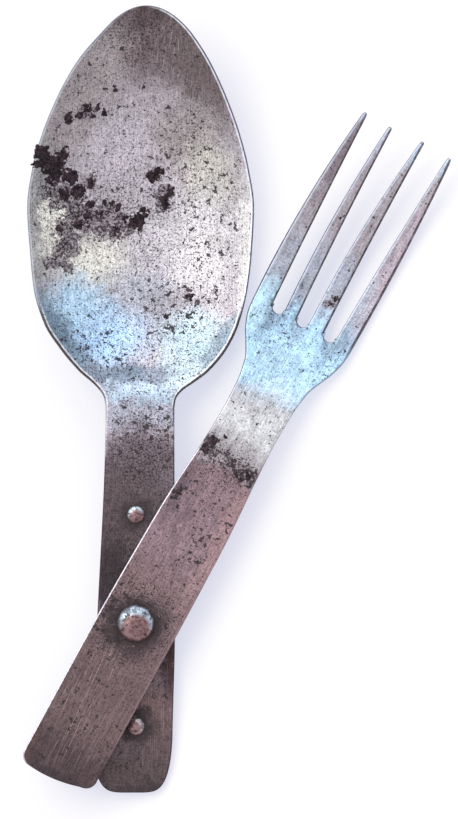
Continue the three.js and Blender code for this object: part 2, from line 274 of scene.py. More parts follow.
# The plan's points inside the rims, on a slightly shaken grid that keeps clear of them.
def fillPoints(rings, holes, settings):
    spacing, rim = settings["spacing"], rings[0]
    low, high = rim[0].min(0), rim[0].max(0)
    across = np.arange(low[0], high[0], spacing)
    along = np.arange(low[1], high[1], spacing)
    grid = np.stack(np.meshgrid(across, along), -1).reshape(-1, 2)
    grid += 0.12 * spacing * np.sin(grid[:, ::-1] * 12.7)  # breaks up the grid's diagonals
    grid = grid[insideLoop(grid, rim[-1])]
    for ring in rings:
        grid = grid[nearest(grid, ring[-1])[0] > 0.55 * spacing]
    for hole in holes:
        off = np.linalg.norm(grid - hole["centre"], axis=1)
        grid = grid[off > hole["radius"] + settings["rounding"]]
    return grid


# A plate's plan as a mesh: its points, how far in from the rim each lies within the rounding, its
# faces, and the outermost loops. Holes run clockwise, the outline anticlockwise.
def planOf(outline, holes, settings):
    rounding = settings["rounding"]
    turns = [math.radians(90 * k / roundingSteps) for k in range(roundingSteps + 1)]
    insets = [rounding * (1 - math.cos(turn)) for turn in turns]
    loops = [outline] + [hole["loop"] for hole in holes]
    rings = [[loop - outward(loop) * inset for inset in insets] for loop in loops]
    edges, start = [], 0
    for ring in rings:
        count = len(ring[-1])
        edges += [(start + i, start + (i + 1) % count) for i in range(count)]
        start += count
    given = np.vstack([ring[-1] for ring in rings] + [fillPoints(rings, holes, settings)])
    cut = geometry.delaunay_2d_cdt([Vector(p) for p in given], edges, [], 1, 1e-5)
    flat = np.array([tuple(p) for p in cut[0]])
    made = {source: i for i, sources in enumerate(cut[3]) for source in sources}
    faces = [list(face) for face in cut[2]]
    for hole in holes:
        reach = hole["radius"] + 0.9 * rounding
        faces = [f for f in faces if np.linalg.norm(flat[f].mean(0) - hole["centre"]) > reach]
    plan, depth, start = [flat], [np.full(len(flat), insets[-1])], 0
    total = len(flat)
    bands = []
    for ring in rings:
        count = len(ring[-1])
        rows = []
        for inset, points in zip(insets[:-1], ring[:-1]):
            rows.append(np.arange(total, total + count))
            plan.append(points)
            depth.append(np.full(count, inset))
            total += count
        rows.append(np.array([made[start + i] for i in range(count)]))
        start += count
        for outer, inner in zip(rows[:-1], rows[1:]):
            for i in range(count):
                j = (i + 1) % count
                faces.append([int(outer[i]), int(outer[j]), int(inner[j]), int(inner[i])])
        bands.append(rows[0])
    return np.vstack(plan), np.concatenate(depth), faces, bands


# A bent plate with rounded edges: the plan's mesh is laid on the lower face and raised square to
# it by the thickness.
def plateMesh(name, outline, holes, lower, thickness, settings, rust):
    plan, depth, faces, bands = planOf(outline, holes, settings)
    total, rounding, inmost = len(plan), settings["rounding"], depth.max()
    off, which = nearest(plan, outline)
    rim = np.where(depth < inmost, depth, np.maximum(off, inmost))
    rim[bands[1][0] :] = beyondRim  # round the holes
    square = squareTo(plan, lower, standing(rim, settings))
    drop = rounding - np.sqrt(np.maximum(rounding**2 - (rounding - depth) ** 2, 0))
    base = np.column_stack((plan, lower(plan)))
    points = np.vstack((base + square * drop[:, None], base + square * (thickness(plan) - drop)[:, None]))
    shell = [f[::-1] for f in faces] + [[v + total for v in f] for f in faces]
    for band in bands:
        for i in range(len(band)):
            a, b = int(band[i]), int(band[(i + 1) % len(band)])
            shell.append([a, b, b + total, a + total])
    mesh = bpy.data.meshes.new(name)
    mesh.from_pydata(points.tolist(), [], shell)
    mesh.shade_smooth()
    # What the steel reads: way in from the rim, side that the rim faces, upper face, and rust.
    store(mesh, "rim", np.tile(rim, 2))
    store(mesh, "flank", np.tile(outward(outline)[which, 0], 2))
    store(mesh, "top", np.repeat([0.0, 1.0], total))
    store(mesh, "rusted", np.concatenate((np.full(total, -1.0), lumpCover(plan, rust, False))))
    return mesh


# A value at each point of the mesh, for materials and trees to read.
def store(mesh, name, values):
    layer = mesh.attributes.new(name, "FLOAT", "POINT")
    layer.data.foreach_set("value", np.asarray(values, np.float32))


def vertexPlan(mesh):
    points = np.zeros(len(mesh.vertices) * 3)
    mesh.vertices.foreach_get("co", points)
    return points.reshape(-1, 3)[:, :2]


def circleHole(centre, radius, sides=40):
    turn = np.linspace(0, -2 * math.pi, sides, endpoint=False)
    loop = np.column_stack((centre[0] + radius * np.cos(turn), centre[1] + radius * np.sin(turn)))
    return {"loop": loop, "centre": np.array(centre), "radius": radius}


# A finished piece: its mesh carried to its place, riding on its body.
def finishPiece(name, mesh, turn, body, slot, material):
    mesh.transform(placeOf(turn))
    mesh.materials.clear()
    mesh.materials.append(material)
    piece = bpy.data.objects.new(name, mesh)
    bpy.context.scene.collection.objects.link(piece)
    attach(piece, body)
    return piece


# The spoon, in mm from the pivot along its own handle.
spoon = {
    "tail": 34.8,  # from the pivot to the handle's end
    "tailRound": 12.9,  # how much of that end is rounded, and how squarely
    "tailSquareness": 5,
    "tailPoints": 60,
    "handleWidth": 16.6,
    "pivotWidth": 16,
    "neckAt": 43.7,
    "neckWidth": 14.1,
    "bend": 7,  # length of the bend before the neck, and how far down it leads
    "neckDrop": 5,
    # Along the bowl, the rim's drop as a share of that.
    "rimDrop": [(0, 0.45), (0.2, 0.92), (0.45, 1)],
    "shoulder": 2,
    "shoulderWidth": 14.6,
    "bowlLength": 81.3,
    "bowlWidth": 46.8,
    "bowlDepth": 8.2,
    "bowlFullness": 2.4,  # how flat the bowl's floor is from side to side
    "tipRise": 2.2,
    "tipArch": 5.4,  # how far the tip bulges past its corners, and over what length rows bend to it
    "tipBlend": 27,
    "handleSheet": 1.55,
    "bowlSheet": 1.1,
    "handleDrift": -0.8,  # how far the handle's end and the neck lie off to the side
    "neckDrift": 0.8,
    "outlineStep": 0.4,
    "wornFrom": 100,  # past here the tip's outline is worn smooth, over about this length
    "wornOver": 1.6,
    "rounding": 0.22,  # of the sheet's edges
    "spacing": 0.42,  # of the sheet's mesh
    "edgeLean": 0.25,  # how far the section leans with the slope at the rim, and from where it is square
    "leanReach": 1.6,
    # How far out the rim stands, as a share of the way to the widest place, along the bowl.
    "leftRim": [
        (0.012, 0.02), (0.026, 0.07), (0.041, 0.143), (0.071, 0.32), (0.13, 0.575), (0.19, 0.77),
        (0.28, 0.91), (0.37, 0.957), (0.49, 0.995), (0.585, 0.932), (0.677, 0.8), (0.766, 0.615),
        (0.857, 0.36), (0.895, 0.21), (0.9336, 0.03),
    ],
    "rightRim": [
        (0.012, 0.03), (0.026, 0.1), (0.041, 0.211), (0.071, 0.415), (0.13, 0.66), (0.19, 0.805),
        (0.28, 0.92), (0.37, 0.975), (0.49, 1.005), (0.585, 0.938), (0.677, 0.82), (0.766, 0.658),
        (0.857, 0.445), (0.895, 0.33), (0.9336, 0.194),
    ],
    # Along the bowl, its depth as a share of the deepest.
    "hollow": [
        (0, 0), (0.04, 0.08), (0.1, 0.33), (0.23, 0.78), (0.43, 1), (0.65, 0.83), (0.84, 0.37),
        (0.9336, 0),
    ],
    "studs": (22.2, -21.2),
    "studHole": 1.05,
    "pivotHole": 2.05,
}


# The spoon's outline, and its lower face and thickness over any plan.
def spoonShape():
    s = spoon
    shoulderAt = s["neckAt"] + s["shoulder"]
    tip = shoulderAt + s["bowlLength"]
    widest = s["tailRound"] - s["tail"]
    tipStart = tip - s["tipArch"]

    def alongBowl(at):
        return shoulderAt + at * s["bowlLength"]

    def edge(way, rim):
        shoulder = s["shoulderWidth"] / 2
        reach = (s["bowlWidth"] - s["shoulderWidth"]) / 2
        return smoothCurve(
            [
                (widest, s["handleDrift"] + way * s["handleWidth"] / 2),
                (0, way * s["pivotWidth"] / 2),
                (s["neckAt"], s["neckDrift"] + way * s["neckWidth"] / 2),
                (shoulderAt, s["neckDrift"] + way * shoulder),
            ]
            + [(alongBowl(at), s["neckDrift"] + way * (shoulder + reach * out)) for at, out in rim]
        )

    left, right = edge(-1, s["leftRim"]), edge(1, s["rightRim"])
    rimHeight = smoothCurve(
        [(-s["tail"], 0), (s["neckAt"] - s["bend"], 0)]
        + [(alongBowl(at), -drop * s["neckDrop"]) for at, drop in s["rimDrop"]]
        + [(alongBowl(0.75), -s["neckDrop"] + 0.3 * s["tipRise"]), (tip, -s["neckDrop"] + s["tipRise"])]
    )
    hollow = smoothCurve([(s["neckAt"], 0)] + [(alongBowl(at), deep) for at, deep in s["hollow"]])
    sheet = smoothCurve(
        [
            (-s["tail"], s["handleSheet"]),
            (s["neckAt"], s["handleSheet"]),
            (alongBowl(0.25), s["bowlSheet"]),
            (tip, s["bowlSheet"]),
        ]
    )

    # Rows across the bowl bulge into the arched tip: the row through each point of the plan.
    def rowOf(plan):
        x, y = plan[:, 0], plan[:, 1]
        low, high = y - s["tipArch"] - 1, y + 1
        for _ in range(26):  # closes in on it by halves
            row = (low + high) / 2
            u = (2 * x - left(row) - right(row)) / (right(row) - left(row))
            bulge = s["tipArch"] * np.maximum(1 - u * u, 0) * ease(row, tipStart - s["tipBlend"], tipStart)
            beyond = row + bulge > y
            high, low = np.where(beyond, row, high), np.where(beyond, low, row)
        return row, u

    def lower(plan):
        row, u = rowOf(plan)
        deep = s["bowlDepth"] * hollow(row) * (1 - np.abs(u) ** s["bowlFullness"])
        return rimHeight(plan[:, 1]) - deep - sheet(row)

    def thickness(plan):
        return sheet(plan[:, 1])

    rows = np.linspace(widest, tipStart, 400)

    # Across the piece at a place along it, from its left edge at -1 to its right edge at 1.
    def acrossAt(row, side):
        return left(row) + (side + 1) / 2 * (right(row) - left(row))

    side = np.linspace(1, -1, s["tailPoints"])[1:-1]
    arch = np.column_stack((acrossAt(tipStart, side), tipStart + s["tipArch"] * (1 - side**2)))
    turn = np.linspace(math.pi, 2 * math.pi, s["tailPoints"])[1:-1]
    side = np.sign(np.cos(turn)) * np.abs(np.cos(turn)) ** (2 / s["tailSquareness"])
    tail = np.column_stack((acrossAt(widest, side), widest + s["tailRound"] * np.sin(turn)))
    rightEdge, leftEdge = np.column_stack((right(rows), rows)), np.column_stack((left(rows), rows))
    outline = evenLoop(np.vstack((tail, rightEdge, arch, leftEdge[::-1])), s["outlineStep"])
    return softened(outline, s["wornFrom"], s["wornOver"]), lower, thickness


# Rust crust: thick lumps, and a thin pitted skin full of holes. Middle and radius of each, in mm.
# "over" is how far a lump may hang over the plate's rim, "holes" how open it is.
crust = {
    "thickness": 0.6,
    "spacing": 0.2,
    "ragged": 0.85,
    "holes": 0,
    "over": 0.45,
    "lumps": [
        (-19.6, 96.6, 1.6), (-18.7, 94.5, 2.0), (-20.6, 93.9, 0.9), (-15.8, 96.4, 1.3),
        (-16.4, 94.9, 1.6), (-15.2, 97.6, 0.7), (-17.4, 93.3, 1.8), (-14.1, 92.0, 1.7),
        (-18.0, 91.2, 1.3), (-12.3, 88.8, 1.7), (-15.6, 88.4, 1.2), (0.2, 82.8, 1.7),
        (1.0, 84.1, 1.1), (2.1, 85.1, 0.6), (-0.6, 81.4, 1.2), (-10.0, 86.1, 0.9),
        (-6.6, 86.5, 0.6), (-5.2, 86.4, 0.6), (-3.7, 85.9, 0.7), (-2.5, 83.2, 0.8),
        (-4.3, 80.8, 0.8), (-7.8, 84.3, 0.9), (-12.5, 82.2, 1.0), (-10.7, 83.6, 0.9),
        (-16.6, 81.0, 0.8), (-9.7, 90.5, 0.9), (3.4, 92.2, 1.3), (4.8, 93.3, 0.9),
        (5.5, 87.0, 0.9), (6.2, 85.9, 0.9), (6.7, 88.4, 1.0), (6.9, 89.6, 0.7),
        (-14.7, 103.6, 1.0), (-14.5, 104.7, 0.6), (-12.5, 104.5, 0.8), (-10.4, 106.3, 0.9),
        (-8.3, 106.3, 0.7), (-6.5, 105.4, 0.7), (-9.3, 104.4, 0.5), (1.5, 110.5, 0.45),
        (-4.6, 110.1, 0.45), (-6.4, 110.1, 0.35), (11.5, 66.7, 0.7), (6.2, 62.3, 0.5),
    ],
}
pitted = {
    "thickness": 0.2,
    "spacing": 0.17,
    "ragged": 0.9,
    "holes": 1.3,
    "over": -0.3,
    "lumps": [
        (-18.0, 88.8, 2.3), (-17.0, 86.7, 1.8), (-14.6, 88.8, 1.7), (-13.5, 86.1, 2.4),
        (-11.5, 84.7, 2.6), (-13.9, 83.4, 1.8), (-9.0, 83.6, 2.4), (-6.6, 84.3, 2.4),
        (-4.3, 83.6, 2.4), (-7.4, 81.8, 2.4), (-4.9, 81.0, 2.3), (-2.5, 81.4, 1.9),
        (-15.2, 81.0, 2.4), (-13.9, 78.9, 2.2), (-15.6, 77.3, 2.0), (-13.5, 76.5, 1.6),
        (-16.4, 74.4, 1.9), (-14.8, 73.2, 1.3), (-18.7, 73.6, 1.1), (-10.5, 81.6, 1.4),
        (6.0, 89.0, 1.7), (6.0, 86.0, 1.5), (4.0, 88.0, 1.0), (10.8, 66.4, 0.9),
        (-10.0, 91.0, 1.5), (-10.5, 105.5, 1.6), (12.1, 104.7, 0.7),
    ],
}
forkCrust = {
    "thickness": 0.3,
    "spacing": 0.2,
    "ragged": 0.8,
    "holes": 0,
    "over": -0.3,
    "lumps": [
        (-5.5, 37.9, 1.2), (-4.6, 40.4, 1.1), (-2.7, 42.1, 0.6), (5.2, 38.1, 1.0),
        (4.0, 36.6, 0.9), (7.0, 36.9, 0.9), (-5.6, 27.6, 0.7), (3.2, 77.8, 0.6),
        (-10.4, 107.8, 0.4), (-8.9, 83.9, 0.35), (-3.9, 93.5, 0.35),
    ],
}
forkPitted = {
    "thickness": 0.16,
    "spacing": 0.17,
    "ragged": 0.9,
    "holes": 1.4,
    "over": -0.3,
    "lumps": [
        (-5.0, 39.0, 1.7), (-1.5, 39.6, 1.2), (1.0, 38.0, 1.3), (4.0, 37.4, 1.8),
        (6.3, 37.4, 1.5), (-5.8, 27.5, 1.3), (2.4, 76.4, 1.1), (2.9, 78.4, 0.8),
    ],
}


crustForm = {
    "frayed": 0.95,  # size in mm of what frays a lump's edge
    "hole": 0.45,
    "bump": 0.75,
    "swell": 2.4,
    "sunk": 0.12,  # how deep it lies in the plate where it is broken, and everywhere
    "bedded": 0.03,
    "under": 0.35,  # how deep its closing underside lies
    "highest": 1.6,  # times its thickness
}


# How far inside a lump each point lies: 1 in the middle, 0 at its frayed edge, less outside.
def lumpCover(points, settings, holed):
    warpX = fieldNoise(points, crustForm["frayed"], 3, 3) * settings["ragged"]
    warpY = fieldNoise(points, crustForm["frayed"], 5, 3) * settings["ragged"]
    x, y = points[:, 0] + warpX, points[:, 1] + warpY
    cover = np.full(len(points), -1.0)
    for cx, cy, radius in settings["lumps"]:
        cover = np.maximum(cover, 1 - np.hypot(x - cx, y - cy) / radius)
    if holed and settings["holes"]:
        gaps = 0.45 + 1.5 * fieldNoise(points, crustForm["hole"], 21, 3)
        cover = cover - settings["holes"] * np.maximum(gaps, 0)
    return cover


# The height of the crust over the plate: thin at a lump's edge, full half way in, and bumpy.
def crustHeight(points, cover, settings):
    bumps = fieldNoise(points, crustForm["bump"], 9, 3)
    swell = fieldNoise(points, crustForm["swell"], 13, 2)
    full = settings["thickness"] * (0.25 + 0.75 * ease(cover, 0, 0.5))
    rise = full * (0.55 + 0.9 * bumps + 0.5 * swell)
    rise = np.where(cover > 0, rise, -crustForm["sunk"]) - crustForm["bedded"]
    return np.clip(rise, -crustForm["sunk"], crustForm["highest"] * settings["thickness"])


# The crust: a broken skin that stands on the plate where a lump covers it and dips into it elsewhere.
def crustMesh(name, settings, plate, outline, lower, thickness):
    step = settings["spacing"]
    lumps = np.array(settings["lumps"])
    low = (lumps[:, :2] - lumps[:, 2:3]).min(0) - 1
    high = (lumps[:, :2] + lumps[:, 2:3]).max(0) + 1
    across, along = np.arange(low[0], high[0], step), np.arange(low[1], high[1], step)
    grid = np.stack(np.meshgrid(across, along), -1).reshape(-1, 2)
    close = np.zeros(len(grid), bool)
    for cx, cy, radius in settings["lumps"]:
        close |= np.hypot(grid[:, 0] - cx, grid[:, 1] - cy) < radius + 1
    near = grid[close]
    off, _ = nearest(near, outline)
    off = np.where(insideLoop(near, outline), off, -off)
    cover = np.where(off < -settings["over"], -1, lumpCover(near, settings, True))
    rise, rim = np.full(len(grid), -crustForm["sunk"]), np.zeros(len(grid))
    rise[close] = crustHeight(near, cover, settings)
    rim[close] = np.maximum(off, 0)
    wide = len(across)
    shown = (rise > 0).reshape(len(along), wide)
    cells = shown[:-1, :-1] | shown[1:, :-1] | shown[:-1, 1:] | shown[1:, 1:]
    rows, columns = np.nonzero(cells)
    corner = rows * wide + columns
    quads = np.column_stack((corner, corner + 1, corner + wide + 1, corner + wide))
    used = np.unique(quads)
    index = np.full(len(grid), -1)
    index[used] = np.arange(len(used))
    quads = index[quads].tolist()
    plan = grid[used]
    square = squareTo(plan, lower, standing(rim[used], plate))
    ground = np.column_stack((plan, lower(plan)))
    sheet = thickness(plan)[:, None]
    top = ground + square * (sheet + rise[used][:, None])
    bottom = ground + square * (sheet - crustForm["under"])
    count = len(plan)
    edges = {}
    for quad in quads:
        for a, b in zip(quad, quad[1:] + quad[:1]):
            if edges.pop((b, a), None) is None:
                edges[(a, b)] = True
    faces = quads + [[v + count for v in quad[::-1]] for quad in quads]
    faces += [[b, a, a + count, b + count] for a, b in edges]
    mesh = bpy.data.meshes.new(name)
    mesh.from_pydata(np.vstack((top, bottom)).tolist(), [], faces)
    return mesh


# The fork, in mm from the pivot along its own handle.
fork = {
    "tail": 35.4,  # from the pivot to the handle's end, which is cut askew, bulges and has round corners
    "tailSkew": 0.65,
    "tailBulge": 0.6,
    "tailCorner": 2.4,
    "tailWidth": 16.2,
    "midAt": 22,
    "midWidth": 15.5,
    "neckAt": 47,
    "neckWidth": 12.9,
    "bend": 9,
    "palmLength": 22.4,
    # Along the palm, how far its edge has gone from the neck's to the outer tine's.
    "palmEdge": [(0.27, 0.04), (0.5, 0.2), (0.63, 0.46), (0.76, 0.75), (0.9, 0.95), (1, 1)],
    "palmDish": 0.8,
    "tineLength": 45.4,
    "tineLift": 5.2,
    # Along the tines, how far they have risen.
    "tineCurve": [(0.14, 0), (0.41, 0.09), (0.72, 0.48), (1, 1)],
    "sheet": 1.7,
    "tineSheet": 1.15,
    "tailDrift": 0.9,
    "neckDrift": 0.35,
    "under": 1.05,  # the handle's lower face over the spoon's upper one, and the palm's fall from there
    "dip": 4.2,
    "palmFall": [(0.18, 0.36), (0.76, 0.86)],  # along the palm, as a share of that
    "outlineStep": 0.4,
    "rounding": 0.28,
    "spacing": 0.42,
    "edgeLean": 1,
    "leanReach": 1,
    "hole": 2.08,
    # Each tine's middle at its root and tip, its bow, its widths at both ends, and what it falls short.
    "tines": [
        {"root": -9.8, "tip": -10.3, "bow": -0.6, "rootWidth": 4.1, "tipWidth": 0.8, "short": 0.5},
        {"root": -3.3, "tip": -4.4, "bow": -0.6, "rootWidth": 2.95, "tipWidth": 0.8, "short": 0.6},
        {"root": 2.7, "tip": 2.85, "bow": -0.6, "rootWidth": 3.6, "tipWidth": 0.8, "short": 0},
        {"root": 9.25, "tip": 9.3, "bow": 0.15, "rootWidth": 3.8, "tipWidth": 0.9, "short": 0.3},
    ],
}


# The fork's outline, and its lower face and thickness over any plan.
def forkShape():
    f = fork
    rootAt = f["neckAt"] + f["palmLength"]
    tip = rootAt + f["tineLength"]
    deepest = f["under"] - f["dip"]
    height = smoothCurve(
        [(-f["tail"], f["under"]), (f["neckAt"] - f["bend"], f["under"])]
        + [(f["neckAt"] + at * f["palmLength"], f["under"] - fall * f["dip"]) for at, fall in f["palmFall"]]
        + [(rootAt + at * f["tineLength"], deepest + rise * f["tineLift"]) for at, rise in f["tineCurve"]]
    )
    dished = smoothCurve([(-f["tail"], 0), (f["neckAt"], 0), (rootAt, 1), (tip, 0.6)])
    sheet = smoothCurve([(-f["tail"], f["sheet"]), (rootAt, f["sheet"]), (tip, f["tineSheet"])])

    def tineAt(tine, y):
        t = (y - rootAt) / (tip - rootAt)
        middle = tine["root"] + (tine["tip"] - tine["root"]) * t + tine["bow"] * 4 * t * (1 - t)
        width = tine["tipWidth"] + (tine["rootWidth"] - tine["tipWidth"]) * (1 - t * t)
        return middle - width / 2, middle + width / 2, middle

    rootLeft, rootRight = tineAt(f["tines"][0], rootAt)[0], tineAt(f["tines"][-1], rootAt)[1]

    def edge(way, rootEdge):
        neck = f["neckDrift"] + way * f["neckWidth"] / 2
        return smoothCurve(
            [
                (-f["tail"] - f["tailSkew"], f["tailDrift"] + way * f["tailWidth"] / 2),
                (0, (f["tailDrift"] + way * f["tailWidth"]) / 2),
                (f["midAt"], f["neckDrift"] + way * f["midWidth"] / 2),
                (f["neckAt"], neck),
            ]
            + [
                (f["neckAt"] + at * f["palmLength"], neck + (rootEdge - neck) * out)
                for at, out in f["palmEdge"]
            ]
        )

    left, right = edge(-1, rootLeft), edge(1, rootRight)

    def lower(plan):
        half = (rootRight - rootLeft) / 2
        return height(plan[:, 1]) + f["palmDish"] * dished(plan[:, 1]) * (plan[:, 0] / half) ** 2

    def thickness(plan):
        return sheet(plan[:, 1])

    def arc(x, y, radius, start, end, count):
        turn = np.linspace(start, end, count)
        return np.column_stack((x + radius * np.cos(turn), y + radius * np.sin(turn)))

    corner = f["tailCorner"]
    lowLeft, lowRight = -f["tail"] - f["tailSkew"], -f["tail"] + f["tailSkew"]
    tailLeft, tailRight = left(lowLeft) + corner, right(lowRight) - corner
    share = np.linspace(0, 1, 40)[1:-1]
    end = np.column_stack(
        (
            tailLeft + share * (tailRight - tailLeft),
            lowLeft + share * (lowRight - lowLeft) - 4 * f["tailBulge"] * share * (1 - share),
        )
    )
    parts = [
        arc(tailLeft, lowLeft + corner, corner, math.pi, 1.45 * math.pi, 12),
        end,
        arc(tailRight, lowRight + corner, corner, -0.45 * math.pi, 0, 12),
    ]
    step = f["outlineStep"]
    sides = np.arange(lowRight + corner + step, rootAt, step)
    parts.append(np.column_stack((right(sides), sides)))
    for i in range(len(f["tines"]) - 1, -1, -1):
        tine = f["tines"][i]
        radius = tine["tipWidth"] / 2
        top = tip - tine["short"]
        shaft = np.arange(rootAt + step, top - 1.6 * radius, step)
        rightSide = np.column_stack((tineAt(tine, shaft)[1], shaft))
        leftSide = np.column_stack((tineAt(tine, shaft)[0], shaft))[::-1]
        parts += [rightSide, arc(tineAt(tine, top)[2], top - radius, radius, 0, math.pi, 8), leftSide]
        if i > 0:
            slotRight, slotLeft = tineAt(tine, rootAt)[0], tineAt(f["tines"][i - 1], rootAt)[1]
            half = (slotRight - slotLeft) / 2
            parts.append(arc(slotLeft + half, rootAt + half, half, 0, -math.pi, 14))
    parts.append(np.column_stack((left(sides), sides))[::-1])
    outline = np.vstack(parts)
    apart = np.linalg.norm(outline - np.roll(outline, 1, axis=0), axis=1)
    return outline[apart > 0.06], lower, thickness  # without points that fall together


# A colour written as on a screen, from 0 to 255.
def paint(red, green, blue):
    def linear(v):
        v /= 255
        return v / 12.92 if v < 0.04045 else ((v + 0.055) / 1.055) ** 2.4

    return (linear(red), linear(green), linear(blue), 1)


def newGroup(name, inputs, outputs):
    tree = bpy.data.node_groups.new(name, "ShaderNodeTree")
    for label, kind, value in inputs:
        made = tree.interface.new_socket(label, in_out="INPUT", socket_type=kind)
        if value is not None:
            made.default_value = value
    for label, kind in outputs:
        tree.interface.new_socket(label, in_out="OUTPUT", socket_type=kind)
    given = tree.nodes.new("NodeGroupInput").outputs
    result = tree.nodes.new("NodeGroupOutput").inputs
    return tree, given, result


def useGroup(tree, group, inputs):
    return addNode(tree, "ShaderNodeGroup", inputs, node_tree=group)


def vectorCalc(tree, operation, *values):
    return addNode(tree, "ShaderNodeVectorMath", dict(enumerate(values)), operation=operation).outputs[0]


def noiseAt(tree, point, scale, detail=3.0, rough=0.55):
    inputs = {"Vector": point, "Scale": scale, "Detail": detail, "Roughness": rough}
    return addNode(tree, "ShaderNodeTexNoise", inputs).outputs["Fac"]


# Goes smoothly from start to end as the value goes from low to high.
def ramp(tree, value, low, high, start=0.0, end=1.0):
    inputs = {"Value": value, "From Min": low, "From Max": high, "To Min": start, "To Max": end}
    made = addNode(tree, "ShaderNodeMapRange", inputs, interpolation_type="SMOOTHSTEP")
    return made.outputs["Result"]


def mixColour(tree, mask, first, second, blend="MIX"):
    made = addNode(tree, "ShaderNodeMix", {0: mask, 6: first, 7: second}, data_type="RGBA", blend_type=blend)
    return made.outputs[2]


# A soft oval patch of wear, stain, painted light or painted shade on the plane. All patterns are read in mm.
def makePatchGroup():
    inputs = [
        ("Point", "NodeSocketVector", None),
        ("Centre", "NodeSocketVector", None),
        ("Turn", "NodeSocketVector", None),
        ("Size", "NodeSocketVector", (1, 1, 1)),
        ("Soft", "NodeSocketFloat", 0.5),
    ]
    tree, given, result = newGroup("wearAndLightPatch", inputs, [("Mask", "NodeSocketFloat")])
    seat = {
        "Vector": given["Point"],
        "Location": given["Centre"],
        "Rotation": given["Turn"],
        "Scale": given["Size"],
    }
    local = addNode(tree, "ShaderNodeMapping", seat, vector_type="TEXTURE").outputs[0]
    flat = vectorCalc(tree, "MULTIPLY", local, (1, 1, 0))
    off = addNode(tree, "ShaderNodeVectorMath", {0: flat}, operation="LENGTH").outputs["Value"]
    inner, outer = calc(tree, "SUBTRACT", 1, given["Soft"]), calc(tree, "ADD", 1, given["Soft"])
    tree.links.new(ramp(tree, off, inner, outer, 1, 0), result["Mask"])
    return tree


pitLevel = {"level": 0.66, "gain": 0.13, "below": 0.012, "above": 0.02}


# Ragged pits: what a rough, many-layered noise leaves above a level, so they cluster as rust does.
def makePitGroup():
    inputs = [
        ("Point", "NodeSocketVector", None),
        ("Scale", "NodeSocketFloat", 1.0),
        ("Cover", "NodeSocketFloat", 0.3),
    ]
    tree, given, result = newGroup("rustPits", inputs, [("Mask", "NodeSocketFloat")])
    field = noiseAt(tree, given["Point"], given["Scale"], 3, rough=0.66)
    level = addShare(tree, pitLevel["level"], given["Cover"], -pitLevel["gain"])
    low = calc(tree, "SUBTRACT", level, pitLevel["below"])
    high = calc(tree, "ADD", level, pitLevel["above"])
    tree.links.new(ramp(tree, field, low, high), result["Mask"])
    return tree


# Worn steel's own grain: brushing along one way, cloudy patina, and scratches, as shifts round zero.
def makeGrainGroup():
    inputs = [
        ("Point", "NodeSocketVector", None),
        ("Brush Stretch", "NodeSocketVector", (6, 0.25, 1)),
        ("Scratch Stretch", "NodeSocketVector", (7, 0.1, 1)),
        ("Scratch Turn", "NodeSocketVector", None),
    ]
    outputs = [(label, "NodeSocketFloat") for label in ("Brush", "Cloud", "Mottle", "Fine", "Scratch")]
    tree, given, result = newGroup("steelGrain", inputs, outputs)
    point = given["Point"]
    brush = noiseAt(tree, vectorCalc(tree, "MULTIPLY", point, given["Brush Stretch"]), 1, 3)
    cloud = noiseAt(tree, point, 0.14, 3)
    mottle = noiseAt(tree, point, 0.75, 5, rough=0.7)
    fine = noiseAt(tree, point, 2.6, 2, rough=0.6)
    for label, value in (("Brush", brush), ("Cloud", cloud), ("Mottle", mottle), ("Fine", fine)):
        tree.links.new(calc(tree, "SUBTRACT", value, 0.5), result[label])
    turned = addNode(tree, "ShaderNodeMapping", {"Vector": point, "Rotation": given["Scratch Turn"]})
    drawn = vectorCalc(tree, "MULTIPLY", turned.outputs[0], given["Scratch Stretch"])
    scratch = noiseAt(tree, drawn, 1, 3, rough=0.6)
    tree.links.new(ramp(tree, scratch, 0.57, 0.66), result["Scratch"])
    return tree


wearAndLightPatch = makePatchGroup()
rustPits = makePitGroup()
steelGrain = makeGrainGroup()


def readAttribute(tree, name):
    return addNode(tree, "ShaderNodeAttribute", attribute_name=name).outputs["Fac"]


# A material's tree with its surface node, and the point on the plane in millimetres.
def startMaterial(name, turn, **surface):
    material = bpy.data.materials.new(name)
    material.use_nodes = True
    tree = material.node_tree
    principled = tree.nodes["Principled BSDF"]
    for key, value in surface.items():
        principled.inputs[key.replace("_", " ")].default_value = value
    own = tree.nodes.new("ShaderNodeTexCoord").outputs["Object"]
    seat = {
        "Vector": own,
        "Location": pivot,
        "Rotation": tuple(turn.to_euler()),
        "Scale": (0.001, 0.001, 0.001),
    }
    point = addNode(tree, "ShaderNodeMapping", seat, vector_type="TEXTURE").outputs[0]
    return material, tree, principled.inputs, point


# Relief from a height, with its full depth in m.
def addBump(tree, surface, height, strength, distance):
    made = addNode(tree, "ShaderNodeBump", {"Strength": strength, "Distance": distance, "Height": height})
    tree.links.new(made.outputs[0], surface["Normal"])


def patchMask(tree, point, patch):
    inputs = {
        "Point": point,
        "Centre": (*patch["at"], 0),
        "Turn": (0, 0, math.radians(patch.get("turn", 0))),
        "Size": (*patch["size"], 1),
        "Soft": patch.get("soft", 0.5),
    }
    mask = useGroup(tree, wearAndLightPatch, inputs).outputs["Mask"]
    return calc(tree, "MULTIPLY", mask, patch.get("share", 1))


# What the spoon's and the fork's worn steel share.
wear = {
    "specular": 0.4,
    "wanderScale": 0.3,  # of what makes a patch's edge wander
    "darkest": 0.25,  # the least that the grain leaves of a colour
    "eatenScale": 0.9,  # of the ragged edge of rust, and how ragged it is
    "eatenRagged": 4.5,
    "eatenDirt": 0.55,
    "spongeScale": 1.6,
    "pitDark": (24, 18, 20),
    "pitPale": (62, 50, 51),
    "bumpDistance": 0.0001,
    # How much each roughens the surface, and how high each stands.
    "rough": {"mottle": 0.6, "dirtAndShade": 0.35},
    "height": {"Brush": 0.5, "Mottle": 0.8, "Fine": 0.6},
    "dirtDepth": 0.6,
}
